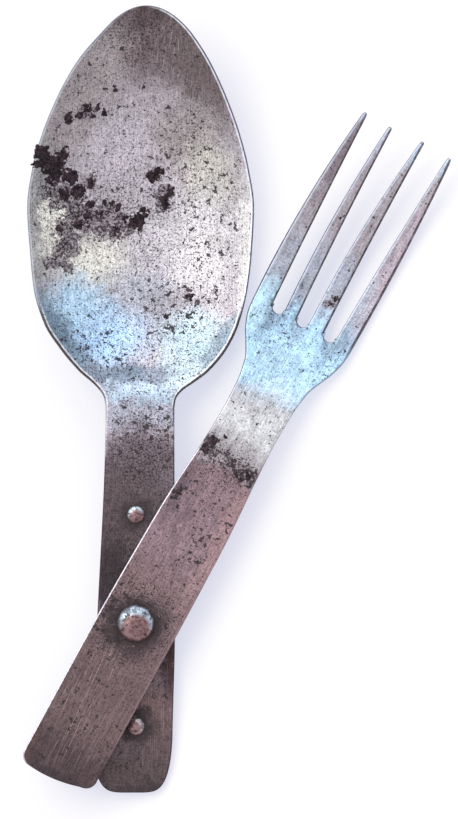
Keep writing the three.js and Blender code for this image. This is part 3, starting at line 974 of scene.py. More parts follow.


# Worn bare steel: stains, painted reflections, painted highlights and painted shade over a ground colour, then
# grain, scratches, rust, pits, grime with painted shadow, and edges with painted highlights and painted shade.
def wornSteel(name, turn, look):
    material, tree, surface, point = startMaterial(name, turn, Specular_IOR_Level=wear["specular"])
    wander = {"Vector": point, "Scale": wear["wanderScale"], "Detail": 6.0, "Roughness": 0.65}
    wander = addNode(tree, "ShaderNodeTexNoise", wander).outputs["Color"]
    wander = vectorCalc(tree, "SUBTRACT", wander, (0.5, 0.5, 0.5))
    loose = vectorCalc(tree, "ADD", point, vectorCalc(tree, "MULTIPLY", wander, (*look["wander"], 0)))
    colour = paint(*look["ground"])
    # Stains, and patches of painted reflection, highlight and shade, laid over the ground colour.
    for patch in look["stainsAndPaintedLight"].values():
        colour = mixColour(tree, patchMask(tree, loose, patch), colour, paint(*patch["colour"]))
    grains = {
        "Point": point,
        "Brush Stretch": look["brushStretch"],
        "Scratch Stretch": look["scratchStretch"],
        "Scratch Turn": (0, 0, math.radians(look["scratchTurn"])),
    }
    grain = useGroup(tree, steelGrain, grains).outputs
    shade = 1
    for label in ("Brush", "Cloud", "Mottle", "Fine"):
        shade = addShare(tree, shade, grain[label], look[label.lower()])
    shade = calc(tree, "MAXIMUM", shade, wear["darkest"])
    shade = addNode(tree, "ShaderNodeCombineColor", {0: shade, 1: shade, 2: shade}).outputs[0]
    colour = mixColour(tree, 1.0, colour, shade, "MULTIPLY")
    lines = calc(tree, "MULTIPLY", grain["Scratch"], readAttribute(tree, "top"))
    reach = 0
    for patch in look["scratches"].values():
        reach = calc(tree, "MAXIMUM", patchMask(tree, loose, patch), reach)
    colour = mixColour(tree, calc(tree, "MULTIPLY", lines, reach), colour, paint(*look["scratchColour"]))
    # Where rust has eaten in, the steel is a grey and brown sponge.
    ragged = calc(tree, "SUBTRACT", noiseAt(tree, point, wear["eatenScale"], 6, rough=0.8), 0.5)
    rusted = addShare(tree, readAttribute(tree, "rusted"), ragged, wear["eatenRagged"])
    rusted = ramp(tree, rusted, -0.02, 0.1)
    sponge = ramp(tree, noiseAt(tree, point, wear["spongeScale"], 3, rough=0.62), 0.47, 0.54)
    sponge = mixColour(tree, sponge, paint(*look["rustDark"]), paint(*look["rustPale"]))
    colour = mixColour(tree, calc(tree, "MULTIPLY", rusted, look["rustShare"]), colour, sponge)
    dirtAndShade = calc(tree, "MULTIPLY", rusted, wear["eatenDirt"])
    pitted = 0
    for pits in look["pits"].values():
        cover = pits["cover"]
        for patch in pits["patches"]:
            cover = addShare(tree, cover, patchMask(tree, loose, patch), patch["more"])
        inputs = {"Point": point, "Scale": pits["scale"], "Cover": cover}
        mask = useGroup(tree, rustPits, inputs).outputs["Mask"]
        pitted = calc(tree, "MAXIMUM", calc(tree, "MULTIPLY", mask, pits["depth"]), pitted)
    # Grime, and painted shadow, darken in broken patches to the pit colours and join the mask that dulls and
    # roughens the steel.
    caked = ramp(tree, grain["Mottle"], -0.16, -0.02)
    for grimeAndShade in look["grimeAndShade"].values():
        mask = calc(tree, "MULTIPLY", patchMask(tree, loose, grimeAndShade), caked)
        pitted = calc(tree, "MAXIMUM", pitted, mask)
    rust = ramp(tree, grain["Mottle"], -0.08, 0.1)
    rust = mixColour(tree, rust, paint(*wear["pitDark"]), paint(*wear["pitPale"]))
    colour = mixColour(tree, pitted, colour, rust)
    dirtAndShade = calc(tree, "MAXIMUM", dirtAndShade, pitted)
    rim = readAttribute(tree, "rim")
    flank = readAttribute(tree, "flank")
    for edge in look["edges"].values():
        mask = calc(tree, "MULTIPLY", ramp(tree, rim, edge["to"], edge["to"] + 0.1, 1, 0), edge["share"])
        if edge["from"] > 0:
            mask = calc(tree, "MULTIPLY", mask, ramp(tree, rim, edge["from"] - 0.1, edge["from"]))
        if "side" in edge:
            mask = calc(tree, "MULTIPLY", mask, ramp(tree, flank, 0, 0.6 * edge["side"]))
        if "at" in edge:
            mask = calc(tree, "MULTIPLY", mask, patchMask(tree, loose, {**edge, "share": 1}))
        broken = ramp(tree, grain["Mottle"], -0.1, 0.03, edge.get("broken", 0.6), 1)
        colour = mixColour(tree, calc(tree, "MULTIPLY", mask, broken), colour, paint(*edge["colour"]))
    tree.links.new(colour, surface["Base Color"])
    clean = calc(tree, "SUBTRACT", 1, dirtAndShade)
    tree.links.new(calc(tree, "MULTIPLY", clean, look["metallic"]), surface["Metallic"])
    rough = addShare(tree, look["roughness"], grain["Mottle"], wear["rough"]["mottle"])
    rough = calc(tree, "ADD", rough, calc(tree, "MULTIPLY", dirtAndShade, wear["rough"]["dirtAndShade"]), clamp=True)
    tree.links.new(rough, surface["Roughness"])
    height = 0
    for label, share in wear["height"].items():
        height = addShare(tree, height, grain[label], share)
    height = addShare(tree, height, dirtAndShade, -wear["dirtDepth"])
    addBump(tree, surface, height, look["relief"], wear["bumpDistance"])
    return material


spoonLook = {
    "ground": (186, 179, 187),
    "wander": (9, 9),
    "brushStretch": (4.5, 0.28, 1),
    "scratchStretch": (4.6, 0.08, 1),
    "scratchTurn": 2,
    "brush": 1.15,
    "cloud": 0.6,
    "mottle": 1.2,
    "fine": 1.6,
    "scratchColour": (186, 170, 178),
    "metallic": 0.8,
    "roughness": 0.42,
    "relief": 0.6,
    "rustDark": (30, 23, 27),
    "rustPale": (170, 160, 164),
    "rustShare": 0.9,
    "scratches": {
        "handle": {"at": (4, -18), "size": (6, 13), "share": 0.3},
        "tip": {"at": (4, 114), "size": (9, 14), "soft": 0.6, "share": 0.55},
    },
    "stainsAndPaintedLight": {
        # The next three are painted shade: the tip, its end and its right wall darken where they turn away
        # from the light.
        "tip": {"at": (3, 123), "size": (14, 13), "colour": (115, 100, 104), "soft": 0.6},
        "tipEndShade": {"at": (-1, 126), "size": (9, 4), "colour": (94, 81, 84), "soft": 0.6},
        "tipRightShade": {"at": (13, 113), "size": (5.5, 13), "turn": 28, "colour": (112, 100, 102)},
        "upperLeft": {"at": (-12, 108), "size": (6, 16), "turn": -28, "colour": (162, 154, 156)},
        # Painted shade on the bowl's left wall, which faces away from the light.
        "leftWallShade": {"at": (-21, 84), "size": (3.4, 17), "colour": (150, 150, 151)},
        "upperGrey": {"at": (10, 101), "size": (7, 7), "colour": (160, 152, 154), "soft": 0.6},
        "creamSide": {"at": (-17.4, 81.5), "size": (3.6, 6.5), "colour": (240, 239, 230), "soft": 0.4},
        "leftEdge": {"at": (-22.6, 84), "size": (2.6, 15), "colour": (170, 170, 171), "soft": 0.4},
        "creamMiddle": {"at": (-8, 74.5), "size": (9, 5.5), "colour": (222, 220, 213), "soft": 0.6},
        "creamRight": {"at": (15, 91), "size": (5, 8), "colour": (198, 194, 188), "soft": 0.6},
        "paleMiddle": {"at": (5, 77), "size": (8, 9), "colour": (196, 191, 198), "soft": 0.6},
        # The next two are painted highlight on the bowl's right wall, which faces the light.
        "rightHighlight": {"at": (14.5, 78), "size": (6.5, 11), "colour": (192, 190, 194)},
        "rightWallHighlight": {"at": (22.3, 76), "size": (2, 15), "colour": (224, 221, 222), "soft": 0.4},
        "lowerMiddle": {"at": (1, 65), "size": (8, 7), "colour": (176, 178, 191), "soft": 0.6},
        "smudge": {"at": (9, 64), "size": (6.5, 5), "colour": (150, 146, 154), "soft": 0.6,
                   "share": 0.7},
        # The next three are painted reflection: the lower bowl mirrors a pale blue sky where it rises towards
        # the neck.
        "blueSideReflection": {"at": (-13, 65), "size": (6, 6), "colour": (186, 216, 240), "soft": 0.6},
        "blueMiddleReflection": {"at": (-7, 58.5), "size": (8, 6), "colour": (174, 204, 236), "soft": 0.6},
        "blueRightReflection": {"at": (12, 57.5), "size": (7, 6), "colour": (178, 199, 210), "soft": 0.6},
        "tealLeft": {"at": (-16, 59), "size": (2.8, 12), "turn": 36, "colour": (118, 140, 158),
                     "soft": 0.6},
        "tealRight": {"at": (18.6, 58), "size": (2.2, 10), "turn": -36, "colour": (140, 156, 170),
                      "soft": 0.6},
        # Painted reflection of a pale blue sky on the shoulder.
        "shoulderReflection": {"at": (9, 51), "size": (5, 3), "colour": (190, 206, 214), "soft": 0.6},
        # Painted shade along the crease where the bowl leaves the neck.
        "creaseShade": {"at": (-3, 50.8), "size": (9, 2.2), "colour": (122, 133, 150), "soft": 0.6},
        # The next two are painted reflection on the neck's bend: pale blue, and greyer towards the handle.
        "neckPaleReflection": {"at": (1, 46.8), "size": (9, 3), "colour": (174, 192, 210)},
        "neckGreyReflection": {"at": (1, 42.5), "size": (11, 3), "colour": (156, 156, 169), "soft": 0.6},
        "handle": {"at": (0, 0), "size": (22, 40.4), "colour": (124, 111, 119), "soft": 0.08},
        "handleUpper": {"at": (-2, 20), "size": (9, 13), "colour": (96, 84, 87)},
        "handleShaded": {"at": (-5, 9), "size": (4, 9), "colour": (66, 57, 61)},
        # Painted shadow that the fork casts on the handle's right side.
        "handleSide": {"at": (7.4, -8), "size": (1.6, 9), "colour": (78, 54, 54), "soft": 0.6},
        "handleLow": {"at": (4, -20), "size": (5, 8), "colour": (110, 90, 92), "soft": 0.6},
        "handleEnd": {"at": (0, -32), "size": (13, 8), "colour": (88, 75, 77), "soft": 0.6},
    },
    "pits": {
        "grit": {
            "cover": 0.32,
            "scale": 2.5,
            "depth": 0.86,
            "patches": [
                {"at": (8, 84), "size": (13, 20), "more": 0.25},
                {"at": (0, 57), "size": (20, 9), "more": 0.25},
                {"at": (0, 122), "size": (7, 8), "more": 0.4},
                {"at": (-10, 84), "size": (13, 12), "more": 0.2, "soft": 0.6},
                {"at": (2, 37), "size": (8, 8), "more": 0.5},
                {"at": (0, 15), "size": (9, 22), "more": 0.3, "soft": 0.4},
            ],
        },
        "clusters": {
            "cover": 0.1,
            "scale": 0.7,
            "depth": 0.92,
            "patches": [
                {"at": (9, 96), "size": (8, 11), "more": 0.35},
                {"at": (16, 80), "size": (5, 12), "more": 0.3},
                {"at": (10, 65), "size": (7, 5), "more": 0.5, "soft": 0.6},
                {"at": (-6, 56), "size": (8, 5), "more": 0.5, "soft": 0.6},
                {"at": (6, 58.5), "size": (5, 4), "more": 0.4, "soft": 0.6},
                {"at": (-10, 86), "size": (12, 8), "turn": -38, "more": 0.3, "soft": 0.6},
                {"at": (3, 37), "size": (6, 7), "more": 0.5},
                {"at": (-1, -29), "size": (8, 5), "more": 0.4, "soft": 0.6},
                {"at": (6, -10), "size": (3, 8), "more": 0.35, "soft": 0.6},
            ],
        },
    },
    "grimeAndShade": {
        "upperStud": {"at": (0, 22.2), "size": (3.4, 3.4), "soft": 0.45, "share": 0.8},
        "lowerStud": {"at": (0, -21.4), "size": (3.6, 3.6), "soft": 0.45, "share": 0.95},
        # Painted shadow of the fork on the handle, darkened like grime.
        "forkShadow": {"at": (6.5, -9), "size": (1.5, 7), "share": 0.5},
        "end": {"at": (0, -34.4), "size": (9, 1.2), "soft": 0.6, "share": 0.6},
    },
    "edges": {
        # Along the rims, the bright lines are painted highlight, and the dark outer lines of the bowl and the
        # dark band round its lower rim are painted shade.
        "dark": {"from": 0, "to": 0.02, "share": 0.5, "colour": (92, 96, 118), "broken": 0.9},
        "bowlRimHighlight": {"from": 0.14, "to": 0.32, "share": 0.85, "colour": (238, 240, 248), "side": 1,
                     "broken": 0.7, "at": (1, 98), "size": (34, 42), "soft": 0.15},
        "bowlRimHighlightLeft": {"from": 0.1, "to": 0.22, "share": 0.6, "colour": (222, 228, 236), "side": -1,
                         "at": (1, 88), "size": (34, 34), "soft": 0.15},
        "bowlOuterShade": {"from": 0, "to": 0.1, "share": 0.85, "colour": (70, 76, 110), "side": 1,
                      "broken": 0.8, "at": (1, 98), "size": (34, 42), "soft": 0.15},
        "bowlOuterShadeLeft": {"from": 0, "to": 0.04, "share": 0.6, "colour": (120, 124, 142), "side": -1,
                          "at": (1, 98), "size": (34, 42), "soft": 0.15},
        "shoulderShade": {"from": 0, "to": 0.3, "share": 0.92, "colour": (58, 44, 42), "broken": 0.9,
                        "at": (1, 55), "size": (32, 13), "soft": 0.25},
        "shoulderHighlight": {"from": 0.36, "to": 0.5, "share": 0.75, "colour": (232, 234, 240),
                         "at": (1, 56), "size": (32, 13), "soft": 0.2},
        "handle": {"from": 0, "to": 0.2, "share": 0.7, "colour": (62, 50, 54), "broken": 0.8,
                   "at": (0, 3), "size": (16, 41), "soft": 0.1},
        "neckHighlight": {"from": 0.05, "to": 0.2, "share": 0.6, "colour": (206, 206, 216), "side": -1,
                     "at": (0, 40), "size": (16, 7), "soft": 0.3},
    },
}

forkLook = {
    "ground": (166, 158, 166),
    "wander": (7, 7),
    "brushStretch": (3.6, 0.24, 1),
    "scratchStretch": (4.6, 0.08, 1),
    "scratchTurn": -5,
    "brush": 1.2,
    "cloud": 0.5,
    "mottle": 1.1,
    "fine": 1.3,
    "scratchColour": (180, 160, 158),
    "metallic": 0.8,
    "roughness": 0.42,
    "relief": 0.6,
    "rustDark": (32, 25, 28),
    "rustPale": (150, 138, 142),
    "rustShare": 0.85,
    "scratches": {
        "handle": {"at": (-1.8, -16), "size": (3.4, 14), "soft": 0.6, "share": 0.9},
        "handleSide": {"at": (4, -22), "size": (3, 9), "soft": 0.6, "share": 0.4},
        "upper": {"at": (1, 22), "size": (6, 12), "soft": 0.6, "share": 0.5},
    },
    "stainsAndPaintedLight": {
        "tineFoot": {"at": (0, 79), "size": (18, 8), "colour": (172, 178, 194), "soft": 0.6,
                     "share": 0.85},
        # Painted reflection: the pale blue of the palm, its left side and its lower middle mirrors a pale blue
        # sky where the palm tilts.
        "palm": {"at": (-1, 63), "size": (22, 10.5), "colour": (186, 224, 253), "soft": 0.35},
        "palmLeftReflection": {"at": (-10, 69), "size": (3.5, 6), "colour": (198, 234, 255), "soft": 0.6},
        "palmShade": {"at": (-6.6, 71), "size": (2, 6), "colour": (116, 134, 156), "soft": 0.7,
                      "share": 0.75},
        "palmShadeMiddle": {"at": (-0.5, 70), "size": (2, 4), "colour": (140, 158, 178), "soft": 0.7,
                            "share": 0.6},
        "palmShadeRight": {"at": (7.5, 70), "size": (2.4, 5), "colour": (124, 142, 160), "soft": 0.7,
                           "share": 0.7},
        "palmPaleReflection": {"at": (0, 60), "size": (8, 4), "colour": (190, 222, 244), "soft": 0.7,
                     "share": 0.7},
        # Painted reflection: the neck's grey-white where it bends down.
        "neck": {"at": (0.5, 45.4), "size": (18, 8), "turn": 20, "colour": (206, 207, 210),
                 "soft": 0.7},
        "neckLow": {"at": (0, 40), "size": (12, 3.5), "colour": (168, 164, 168), "soft": 0.7},
        "handle": {"at": (0, -4), "size": (24, 41), "colour": (128, 107, 110), "soft": 0.04},
        "handlePink": {"at": (0, 24), "size": (12, 12), "colour": (146, 123, 131)},
        "pinkSide": {"at": (7, 22), "size": (2, 15), "colour": (168, 138, 140), "share": 0.6},
        "handleLow": {"at": (0, -18), "size": (14, 14), "colour": (112, 94, 96), "soft": 0.6},
        "handleEnd": {"at": (0, -33), "size": (14, 7), "colour": (84, 70, 73), "soft": 0.6},
        "cornerRust": {"at": (-7.4, -33), "size": (1.4, 3), "colour": (124, 90, 84), "soft": 0.7,
                       "share": 0.35},
        "tipOne": {"at": (-10.3, 114.5), "size": (2, 1.6), "colour": (170, 184, 206), "soft": 0.6},
        "tipTwo": {"at": (-4.4, 112), "size": (2, 4), "colour": (184, 190, 206), "soft": 0.6},
        "tipThree": {"at": (2.9, 112.5), "size": (2, 3.4), "colour": (176, 190, 210), "soft": 0.6},
        "tipFour": {"at": (9.4, 113.5), "size": (2, 3), "colour": (190, 206, 220), "soft": 0.6},
        "tineFour": {"at": (10.5, 92), "size": (1.8, 13), "colour": (186, 173, 185), "soft": 0.6},
        "tineOneDark": {"at": (-10.4, 103), "size": (1.2, 9), "colour": (122, 108, 118), "soft": 0.6,
                        "share": 0.7},
    },
    "pits": {
        "grit": {
            "cover": 0.1,
            "scale": 2.5,
            "depth": 0.86,
            "patches": [
                {"at": (-4, 67), "size": (5, 4), "more": 0.5},
                {"at": (9, 65), "size": (4, 5), "more": 0.35},
                {"at": (0, 0), "size": (10, 36), "more": 0.28, "soft": 0.3},
                {"at": (1, 37), "size": (9, 5), "more": 0.5, "soft": 0.6},
                {"at": (-0.5, -0.5), "size": (7.5, 7.5), "more": 0.95},
            ],
        },
        "clusters": {
            "cover": 0.1,
            "scale": 0.95,
            "depth": 0.92,
            "patches": [
                {"at": (-5, 39), "size": (3.5, 3), "more": 0.7, "soft": 0.6},
                {"at": (3.5, 37.5), "size": (6, 2.4), "more": 0.7, "soft": 0.6},
                {"at": (-5.6, 28), "size": (2.4, 4), "more": 0.7, "soft": 0.6},
                {"at": (2.6, 18), "size": (3.4, 4.4), "more": 0.5, "soft": 0.6},
                {"at": (4.4, 25), "size": (2.6, 5), "more": 0.4, "soft": 0.6},
                {"at": (-2, 27), "size": (6, 6), "more": 0.2, "soft": 0.6},
                {"at": (-0.5, -0.5), "size": (6.5, 6.5), "more": 1.1},
                {"at": (-6.5, -5), "size": (2, 9), "more": 0.4},
                {"at": (0, -26), "size": (8, 8), "more": 0.2},
                {"at": (2.6, 77), "size": (1.4, 2.4), "more": 0.6, "soft": 0.6},
            ],
        },
    },
    "grimeAndShade": {
        "pivot": {"at": (0.3, -0.5), "size": (6.2, 6.4), "soft": 0.4, "share": 0.9},
        "pivotRing": {"at": (-0.2, 0), "size": (5.2, 5.3), "soft": 0.25},
        "streak": {"at": (-5.5, 27), "size": (1.3, 6), "soft": 0.6, "share": 0.5},
        "streakTwo": {"at": (-2.5, 24), "size": (1, 6), "soft": 0.6, "share": 0.35},
        "end": {"at": (0, -35.4), "size": (9, 1.6), "soft": 0.6, "share": 0.5},
    },
    "edges": {
        # Painted highlight on the handle's left bevel, which faces the light.
        "handleBevelHighlight": {"from": 0, "to": 0.2, "share": 0.9, "colour": (238, 236, 246), "side": -1,
                        "broken": 0.75, "at": (0, 1), "size": (24, 38), "soft": 0.06},
        "handleRight": {"from": 0.15, "to": 0.4, "share": 0.45, "colour": (160, 132, 136), "side": 1,
                        "at": (0, 8), "size": (18, 34), "soft": 0.15},
        "neckRim": {"from": 0, "to": 0.05, "share": 0.7, "colour": (90, 84, 92), "at": (0, 56),
                    "size": (22, 19), "soft": 0.15},
        # Painted highlight on the tines' left sides.
        "tineHighlight": {"from": 0.1, "to": 0.42, "share": 0.6, "colour": (196, 208, 226), "side": -1,
                     "at": (0, 92), "size": (22, 24), "soft": 0.12},
        "tineLeft": {"from": 0, "to": 0.05, "share": 0.85, "colour": (70, 66, 88), "side": -1,
                     "at": (0, 93), "size": (22, 26), "soft": 0.12},
        # Painted shade on the tines' right sides.
        "tineRightShade": {"from": 0, "to": 0.34, "share": 0.88, "colour": (58, 46, 50), "side": 1,
                      "at": (0, 92), "size": (22, 26), "soft": 0.12},
    },
}


rustLook = {
    "bowlRust": {"dark": (34, 27, 30), "pale": (66, 52, 56), "patchScale": 0.9},
    "bowlPitted": {"dark": (32, 26, 29), "pale": (148, 137, 142), "patchScale": 1.7},
    "forkRust": {"dark": (36, 28, 30), "pale": (70, 56, 58), "patchScale": 0.9},
    "flecks": {"colour": (112, 98, 102), "scale": 1.3, "cover": 0.5, "share": 0.4},
    "roughness": 0.85,
    "specular": 0.25,
    "rubbleScale": 3.2,
    "relief": 0.9,
    "rubbleDepth": 0.00015,  # in m
}


# Rust crust, dark with paler patches, and flecks.
def crustMaterial(name, turn):
    look, flecks = rustLook[name], rustLook["flecks"]
    finish = {"Roughness": rustLook["roughness"], "Specular_IOR_Level": rustLook["specular"]}
    material, tree, surface, point = startMaterial(name, turn, **finish)
    patina = noiseAt(tree, point, look["patchScale"], 3, rough=0.62)
    colour = mixColour(tree, ramp(tree, patina, 0.44, 0.58), paint(*look["dark"]), paint(*look["pale"]))
    pits = {"Point": point, "Scale": flecks["scale"], "Cover": flecks["cover"]}
    fleck = calc(tree, "MULTIPLY", useGroup(tree, rustPits, pits).outputs["Mask"], flecks["share"])
    colour = mixColour(tree, fleck, colour, paint(*flecks["colour"]))
    tree.links.new(colour, surface["Base Color"])
    rubble = noiseAt(tree, point, rustLook["rubbleScale"], 5, rough=0.75)
    addBump(tree, surface, rubble, rustLook["relief"], rustLook["rubbleDepth"])
    return material


rivetLook = {
    "dark": (114, 88, 90),
    "pale": (150, 120, 122),
    # The colour of dirt and of painted contact shadow.
    "dirtAndShade": (48, 38, 38),
    "dullCrown": 0.6,  # how bright the crescent's dull places are
    "specular": 0.4,
    "metallic": 0.85,
    "roughness": 0.32,
    "spots": {"scale": 1.1, "cover": 0.62, "share": 0.75},
    "relief": 0.5,
}


def rivetMaterial():
    look, spots = rivetLook, rivetLook["spots"]
    material, tree, surface, point = startMaterial(
        "rivetSteel", handleTurn, Specular_IOR_Level=look["specular"]
    )
    mottle = noiseAt(tree, point, 0.9, 5, rough=0.7)
    colour = mixColour(tree, ramp(tree, mottle, 0.42, 0.58), paint(*look["dark"]), paint(*look["pale"]))
    for rivet in rivets.values():
        head = rivet["head"]
        litX, litY = rivet["lit"]
        # A bright crescent of painted highlight and painted reflection of the sky is left of the whole head
        # where the brown patch is set off from it.
        whole = {"at": (0.05 * head, rivet["at"] + 0.1 * head), "size": (head, 0.95 * head), "soft": 0.12}
        brown = {"at": (-litX * head, rivet["at"] - litY * head), "size": (0.84 * head, 0.84 * head)}
        brown["soft"] = 0.22
        whole, brown = patchMask(tree, point, whole), patchMask(tree, point, brown)
        paintedCrescent = calc(tree, "SUBTRACT", whole, brown, clamp=True)
        paintedCrescent = calc(tree, "MULTIPLY", paintedCrescent, rivet["shine"])
        dull = paint(*(look["dullCrown"] * value for value in rivet["paintedCrescent"]))
        steel = mixColour(tree, ramp(tree, mottle, 0.42, 0.56), dull, paint(*rivet["paintedCrescent"]))
        colour = mixColour(tree, paintedCrescent, colour, steel)
    depth = addNode(tree, "ShaderNodeSeparateXYZ", {0: point}).outputs["Z"]
    pits = {"Point": point, "Scale": spots["scale"], "Cover": spots["cover"]}
    pitted = calc(tree, "MULTIPLY", useGroup(tree, rustPits, pits).outputs["Mask"], spots["share"])
    # Over the rust spots, painted contact shadow darkens the foot of each head.
    foot = readAttribute(tree, "foot")
    dirtAndShade = calc(tree, "MAXIMUM", pitted, ramp(tree, foot, 0.74, 1.0, 0, 0.85))
    dirtAndShade = calc(tree, "MAXIMUM", dirtAndShade, ramp(tree, depth, -1, 0, 0.6, 0))  # and all of the underside
    colour = mixColour(tree, dirtAndShade, colour, paint(*look["dirtAndShade"]))
    tree.links.new(colour, surface["Base Color"])
    tree.links.new(addShare(tree, look["metallic"], dirtAndShade, -0.7), surface["Metallic"])
    tree.links.new(addShare(tree, look["roughness"], dirtAndShade, 0.4), surface["Roughness"])
    addBump(tree, surface, mottle, look["relief"], wear["bumpDistance"])
    return material


washerLook = {"dark": (58, 48, 48), "pale": (112, 100, 102), "metallic": 0.7, "roughness": 0.55, "relief": 0.4}


def washerMaterial():
    look = washerLook
    finish = {"Roughness": look["roughness"], "Metallic": look["metallic"]}
    material, tree, surface, point = startMaterial("washerSteel", handleTurn, **finish)
    mottle = noiseAt(tree, point, 1.2, 4, rough=0.7)
    colour = mixColour(tree, ramp(tree, mottle, 0.35, 0.65), paint(*look["dark"]), paint(*look["pale"]))
    tree.links.new(colour, surface["Base Color"])
    addBump(tree, surface, mottle, look["relief"], wear["bumpDistance"])
    return material


print("materials ready")

# Rivets, in mm. "at" is the place along the spoon's handle, "headSeat" the height of the head's
# foot, and each head has the colour of its crescent of painted highlight, which lies on the side that "lit"
# names.
rivets = {
    "pivotRivet": {"node": "pivot_rivet", "at": 0, "head": 3.75, "rise": 1.9, "shank": 2.0, "tail": 3.2,
                   "tailRise": 0.9, "headSeat": 2.8, "dent": 0.05, "paintedCrescent": (188, 206, 222),
                   "shine": 0.95, "lit": (0, 0.32)},
    "upperStud": {"node": "upper_stud", "at": 22.2, "head": 1.8, "rise": 0.8, "shank": 1.0, "tail": 1.6,
                  "tailRise": 0.45, "headSeat": 0.05, "dent": 0.03, "paintedCrescent": (196, 208, 220),
                  "shine": 0.9, "lit": (-0.08, 0.3)},
    "lowerStud": {"node": "lower_stud", "at": -21.2, "head": 1.8, "rise": 0.8, "shank": 1.0,
                  "tail": 1.6, "tailRise": 0.45, "headSeat": 0.05, "dent": 0.03,
                  "paintedCrescent": (196, 190, 194), "shine": 0.9, "lit": (0.24, 0.26)},
}
rivetTailSeat = -1.6  # the spoon's lower face
rivetSides = {"around": 73, "down": 61}
rivetProfile = {"dome": 0.45, "tuck": 0.5, "shank": 0.55, "flare": 0.6}  # where each ends, of 1
rivetInputs = ["at", "head", "rise", "shank", "tail", "tailRise", "headSeat", "tailSeat", "dent"]


# The tree turns a domed head, a shank and a hammered tail from a grid.
def makeRivetTree(material):
    tree = bpy.data.node_groups.new("domedRivet", "GeometryNodeTree")
    ids = {}
    for name in rivetInputs:
        made = tree.interface.new_socket(name, in_out="INPUT", socket_type="NodeSocketFloat")
        ids[name] = made.identifier
    tree.interface.new_socket("Geometry", in_out="OUTPUT", socket_type="NodeSocketGeometry")
    given = tree.nodes.new("NodeGroupInput").outputs
    size = {name: given[i] for i, name in enumerate(rivetInputs)}
    counts = {"Vertices X": rivetSides["around"], "Vertices Y": rivetSides["down"]}
    grid = addNode(tree, "GeometryNodeMeshGrid", {"Size X": 1.0, "Size Y": 1.0, **counts})
    seen = addNode(tree, "GeometryNodeInputPosition").outputs[0]
    place = addNode(tree, "ShaderNodeSeparateXYZ", {0: seen}).outputs
    around = calc(tree, "MULTIPLY", place["X"], -2 * math.pi)
    down = calc(tree, "ADD", place["Y"], 0.5)

    def stretch(start, end):
        made = addNode(tree, "ShaderNodeMapRange", {"Value": down, "From Min": start, "From Max": end})
        return made.outputs["Result"]

    # Down the profile: the dome, in under the head, down the shank, out and over the tail.
    ends = list(rivetProfile.values())
    dome = calc(tree, "MULTIPLY", stretch(0, ends[0]), math.pi / 2)
    tuck, sink, flare = [stretch(start, end) for start, end in zip(ends[:-1], ends[1:])]
    tailTurn = calc(tree, "MULTIPLY", stretch(ends[-1], 1), math.pi / 2)
    radius = calc(tree, "MULTIPLY", size["head"], calc(tree, "SINE", dome))
    narrow = calc(tree, "MULTIPLY", calc(tree, "SUBTRACT", size["head"], size["shank"]), tuck)
    widen = calc(tree, "MULTIPLY", calc(tree, "SUBTRACT", size["tail"], size["shank"]), flare)
    close = calc(tree, "SUBTRACT", 1, calc(tree, "COSINE", tailTurn))
    close = calc(tree, "MULTIPLY", size["tail"], close)
    radius = calc(tree, "SUBTRACT", radius, narrow)
    radius = calc(tree, "SUBTRACT", calc(tree, "ADD", radius, widen), close)
    height = addShare(tree, size["headSeat"], size["rise"], calc(tree, "COSINE", dome))
    shank = calc(tree, "MULTIPLY", calc(tree, "SUBTRACT", size["headSeat"], size["tailSeat"]), sink)
    height = calc(tree, "SUBTRACT", height, shank)
    tail = calc(tree, "MULTIPLY", size["tailRise"], calc(tree, "SINE", tailTurn))
    height = calc(tree, "SUBTRACT", height, tail)
    parts = {
        "X": calc(tree, "MULTIPLY", radius, calc(tree, "COSINE", around)),
        "Y": calc(tree, "MULTIPLY", radius, calc(tree, "SINE", around)),
        "Z": height,
    }
    point = addNode(tree, "ShaderNodeCombineXYZ", parts).outputs[0]
    foot = calc(tree, "DIVIDE", down, rivetProfile["dome"])
    marked = addNode(
        tree,
        "GeometryNodeStoreNamedAttribute",
        {"Geometry": grid.outputs["Mesh"], "Name": "foot", "Value": foot},
        data_type="FLOAT",
        domain="POINT",
    )
    turned = addNode(tree, "GeometryNodeSetPosition", {"Geometry": marked.outputs[0], "Position": point})
    closed = addNode(tree, "GeometryNodeMergeByDistance", {"Geometry": turned.outputs[0], "Distance": 0.001})
    # Hammer marks.
    normal = addNode(tree, "GeometryNodeInputNormal").outputs[0]
    along = addNode(tree, "ShaderNodeCombineXYZ", {"Y": size["at"]}).outputs[0]
    shifted = {"Vector": vectorCalc(tree, "ADD", seen, along), "Scale": 0.9, "Detail": 2.0}
    marks = addNode(tree, "ShaderNodeTexNoise", shifted).outputs["Fac"]
    depth = calc(tree, "MULTIPLY", calc(tree, "SUBTRACT", marks, 0.62), size["dent"])
    off = addNode(tree, "ShaderNodeVectorMath", {0: normal, "Scale": depth}, operation="SCALE").outputs[0]
    dented = addNode(tree, "GeometryNodeSetPosition", {"Geometry": closed.outputs[0], "Offset": off})
    seated = addNode(tree, "GeometryNodeTransform", {"Geometry": dented.outputs[0], "Translation": along})
    smooth = addNode(tree, "GeometryNodeSetShadeSmooth", {"Geometry": seated.outputs[0]})
    real = addNode(tree, "GeometryNodeRealizeInstances", {"Geometry": smooth.outputs[0]})
    final = addNode(tree, "GeometryNodeSetMaterial", {"Geometry": real.outputs[0], "Material": material})
    tree.links.new(final.outputs[0], tree.nodes.new("NodeGroupOutput").inputs[0])
    return tree, ids


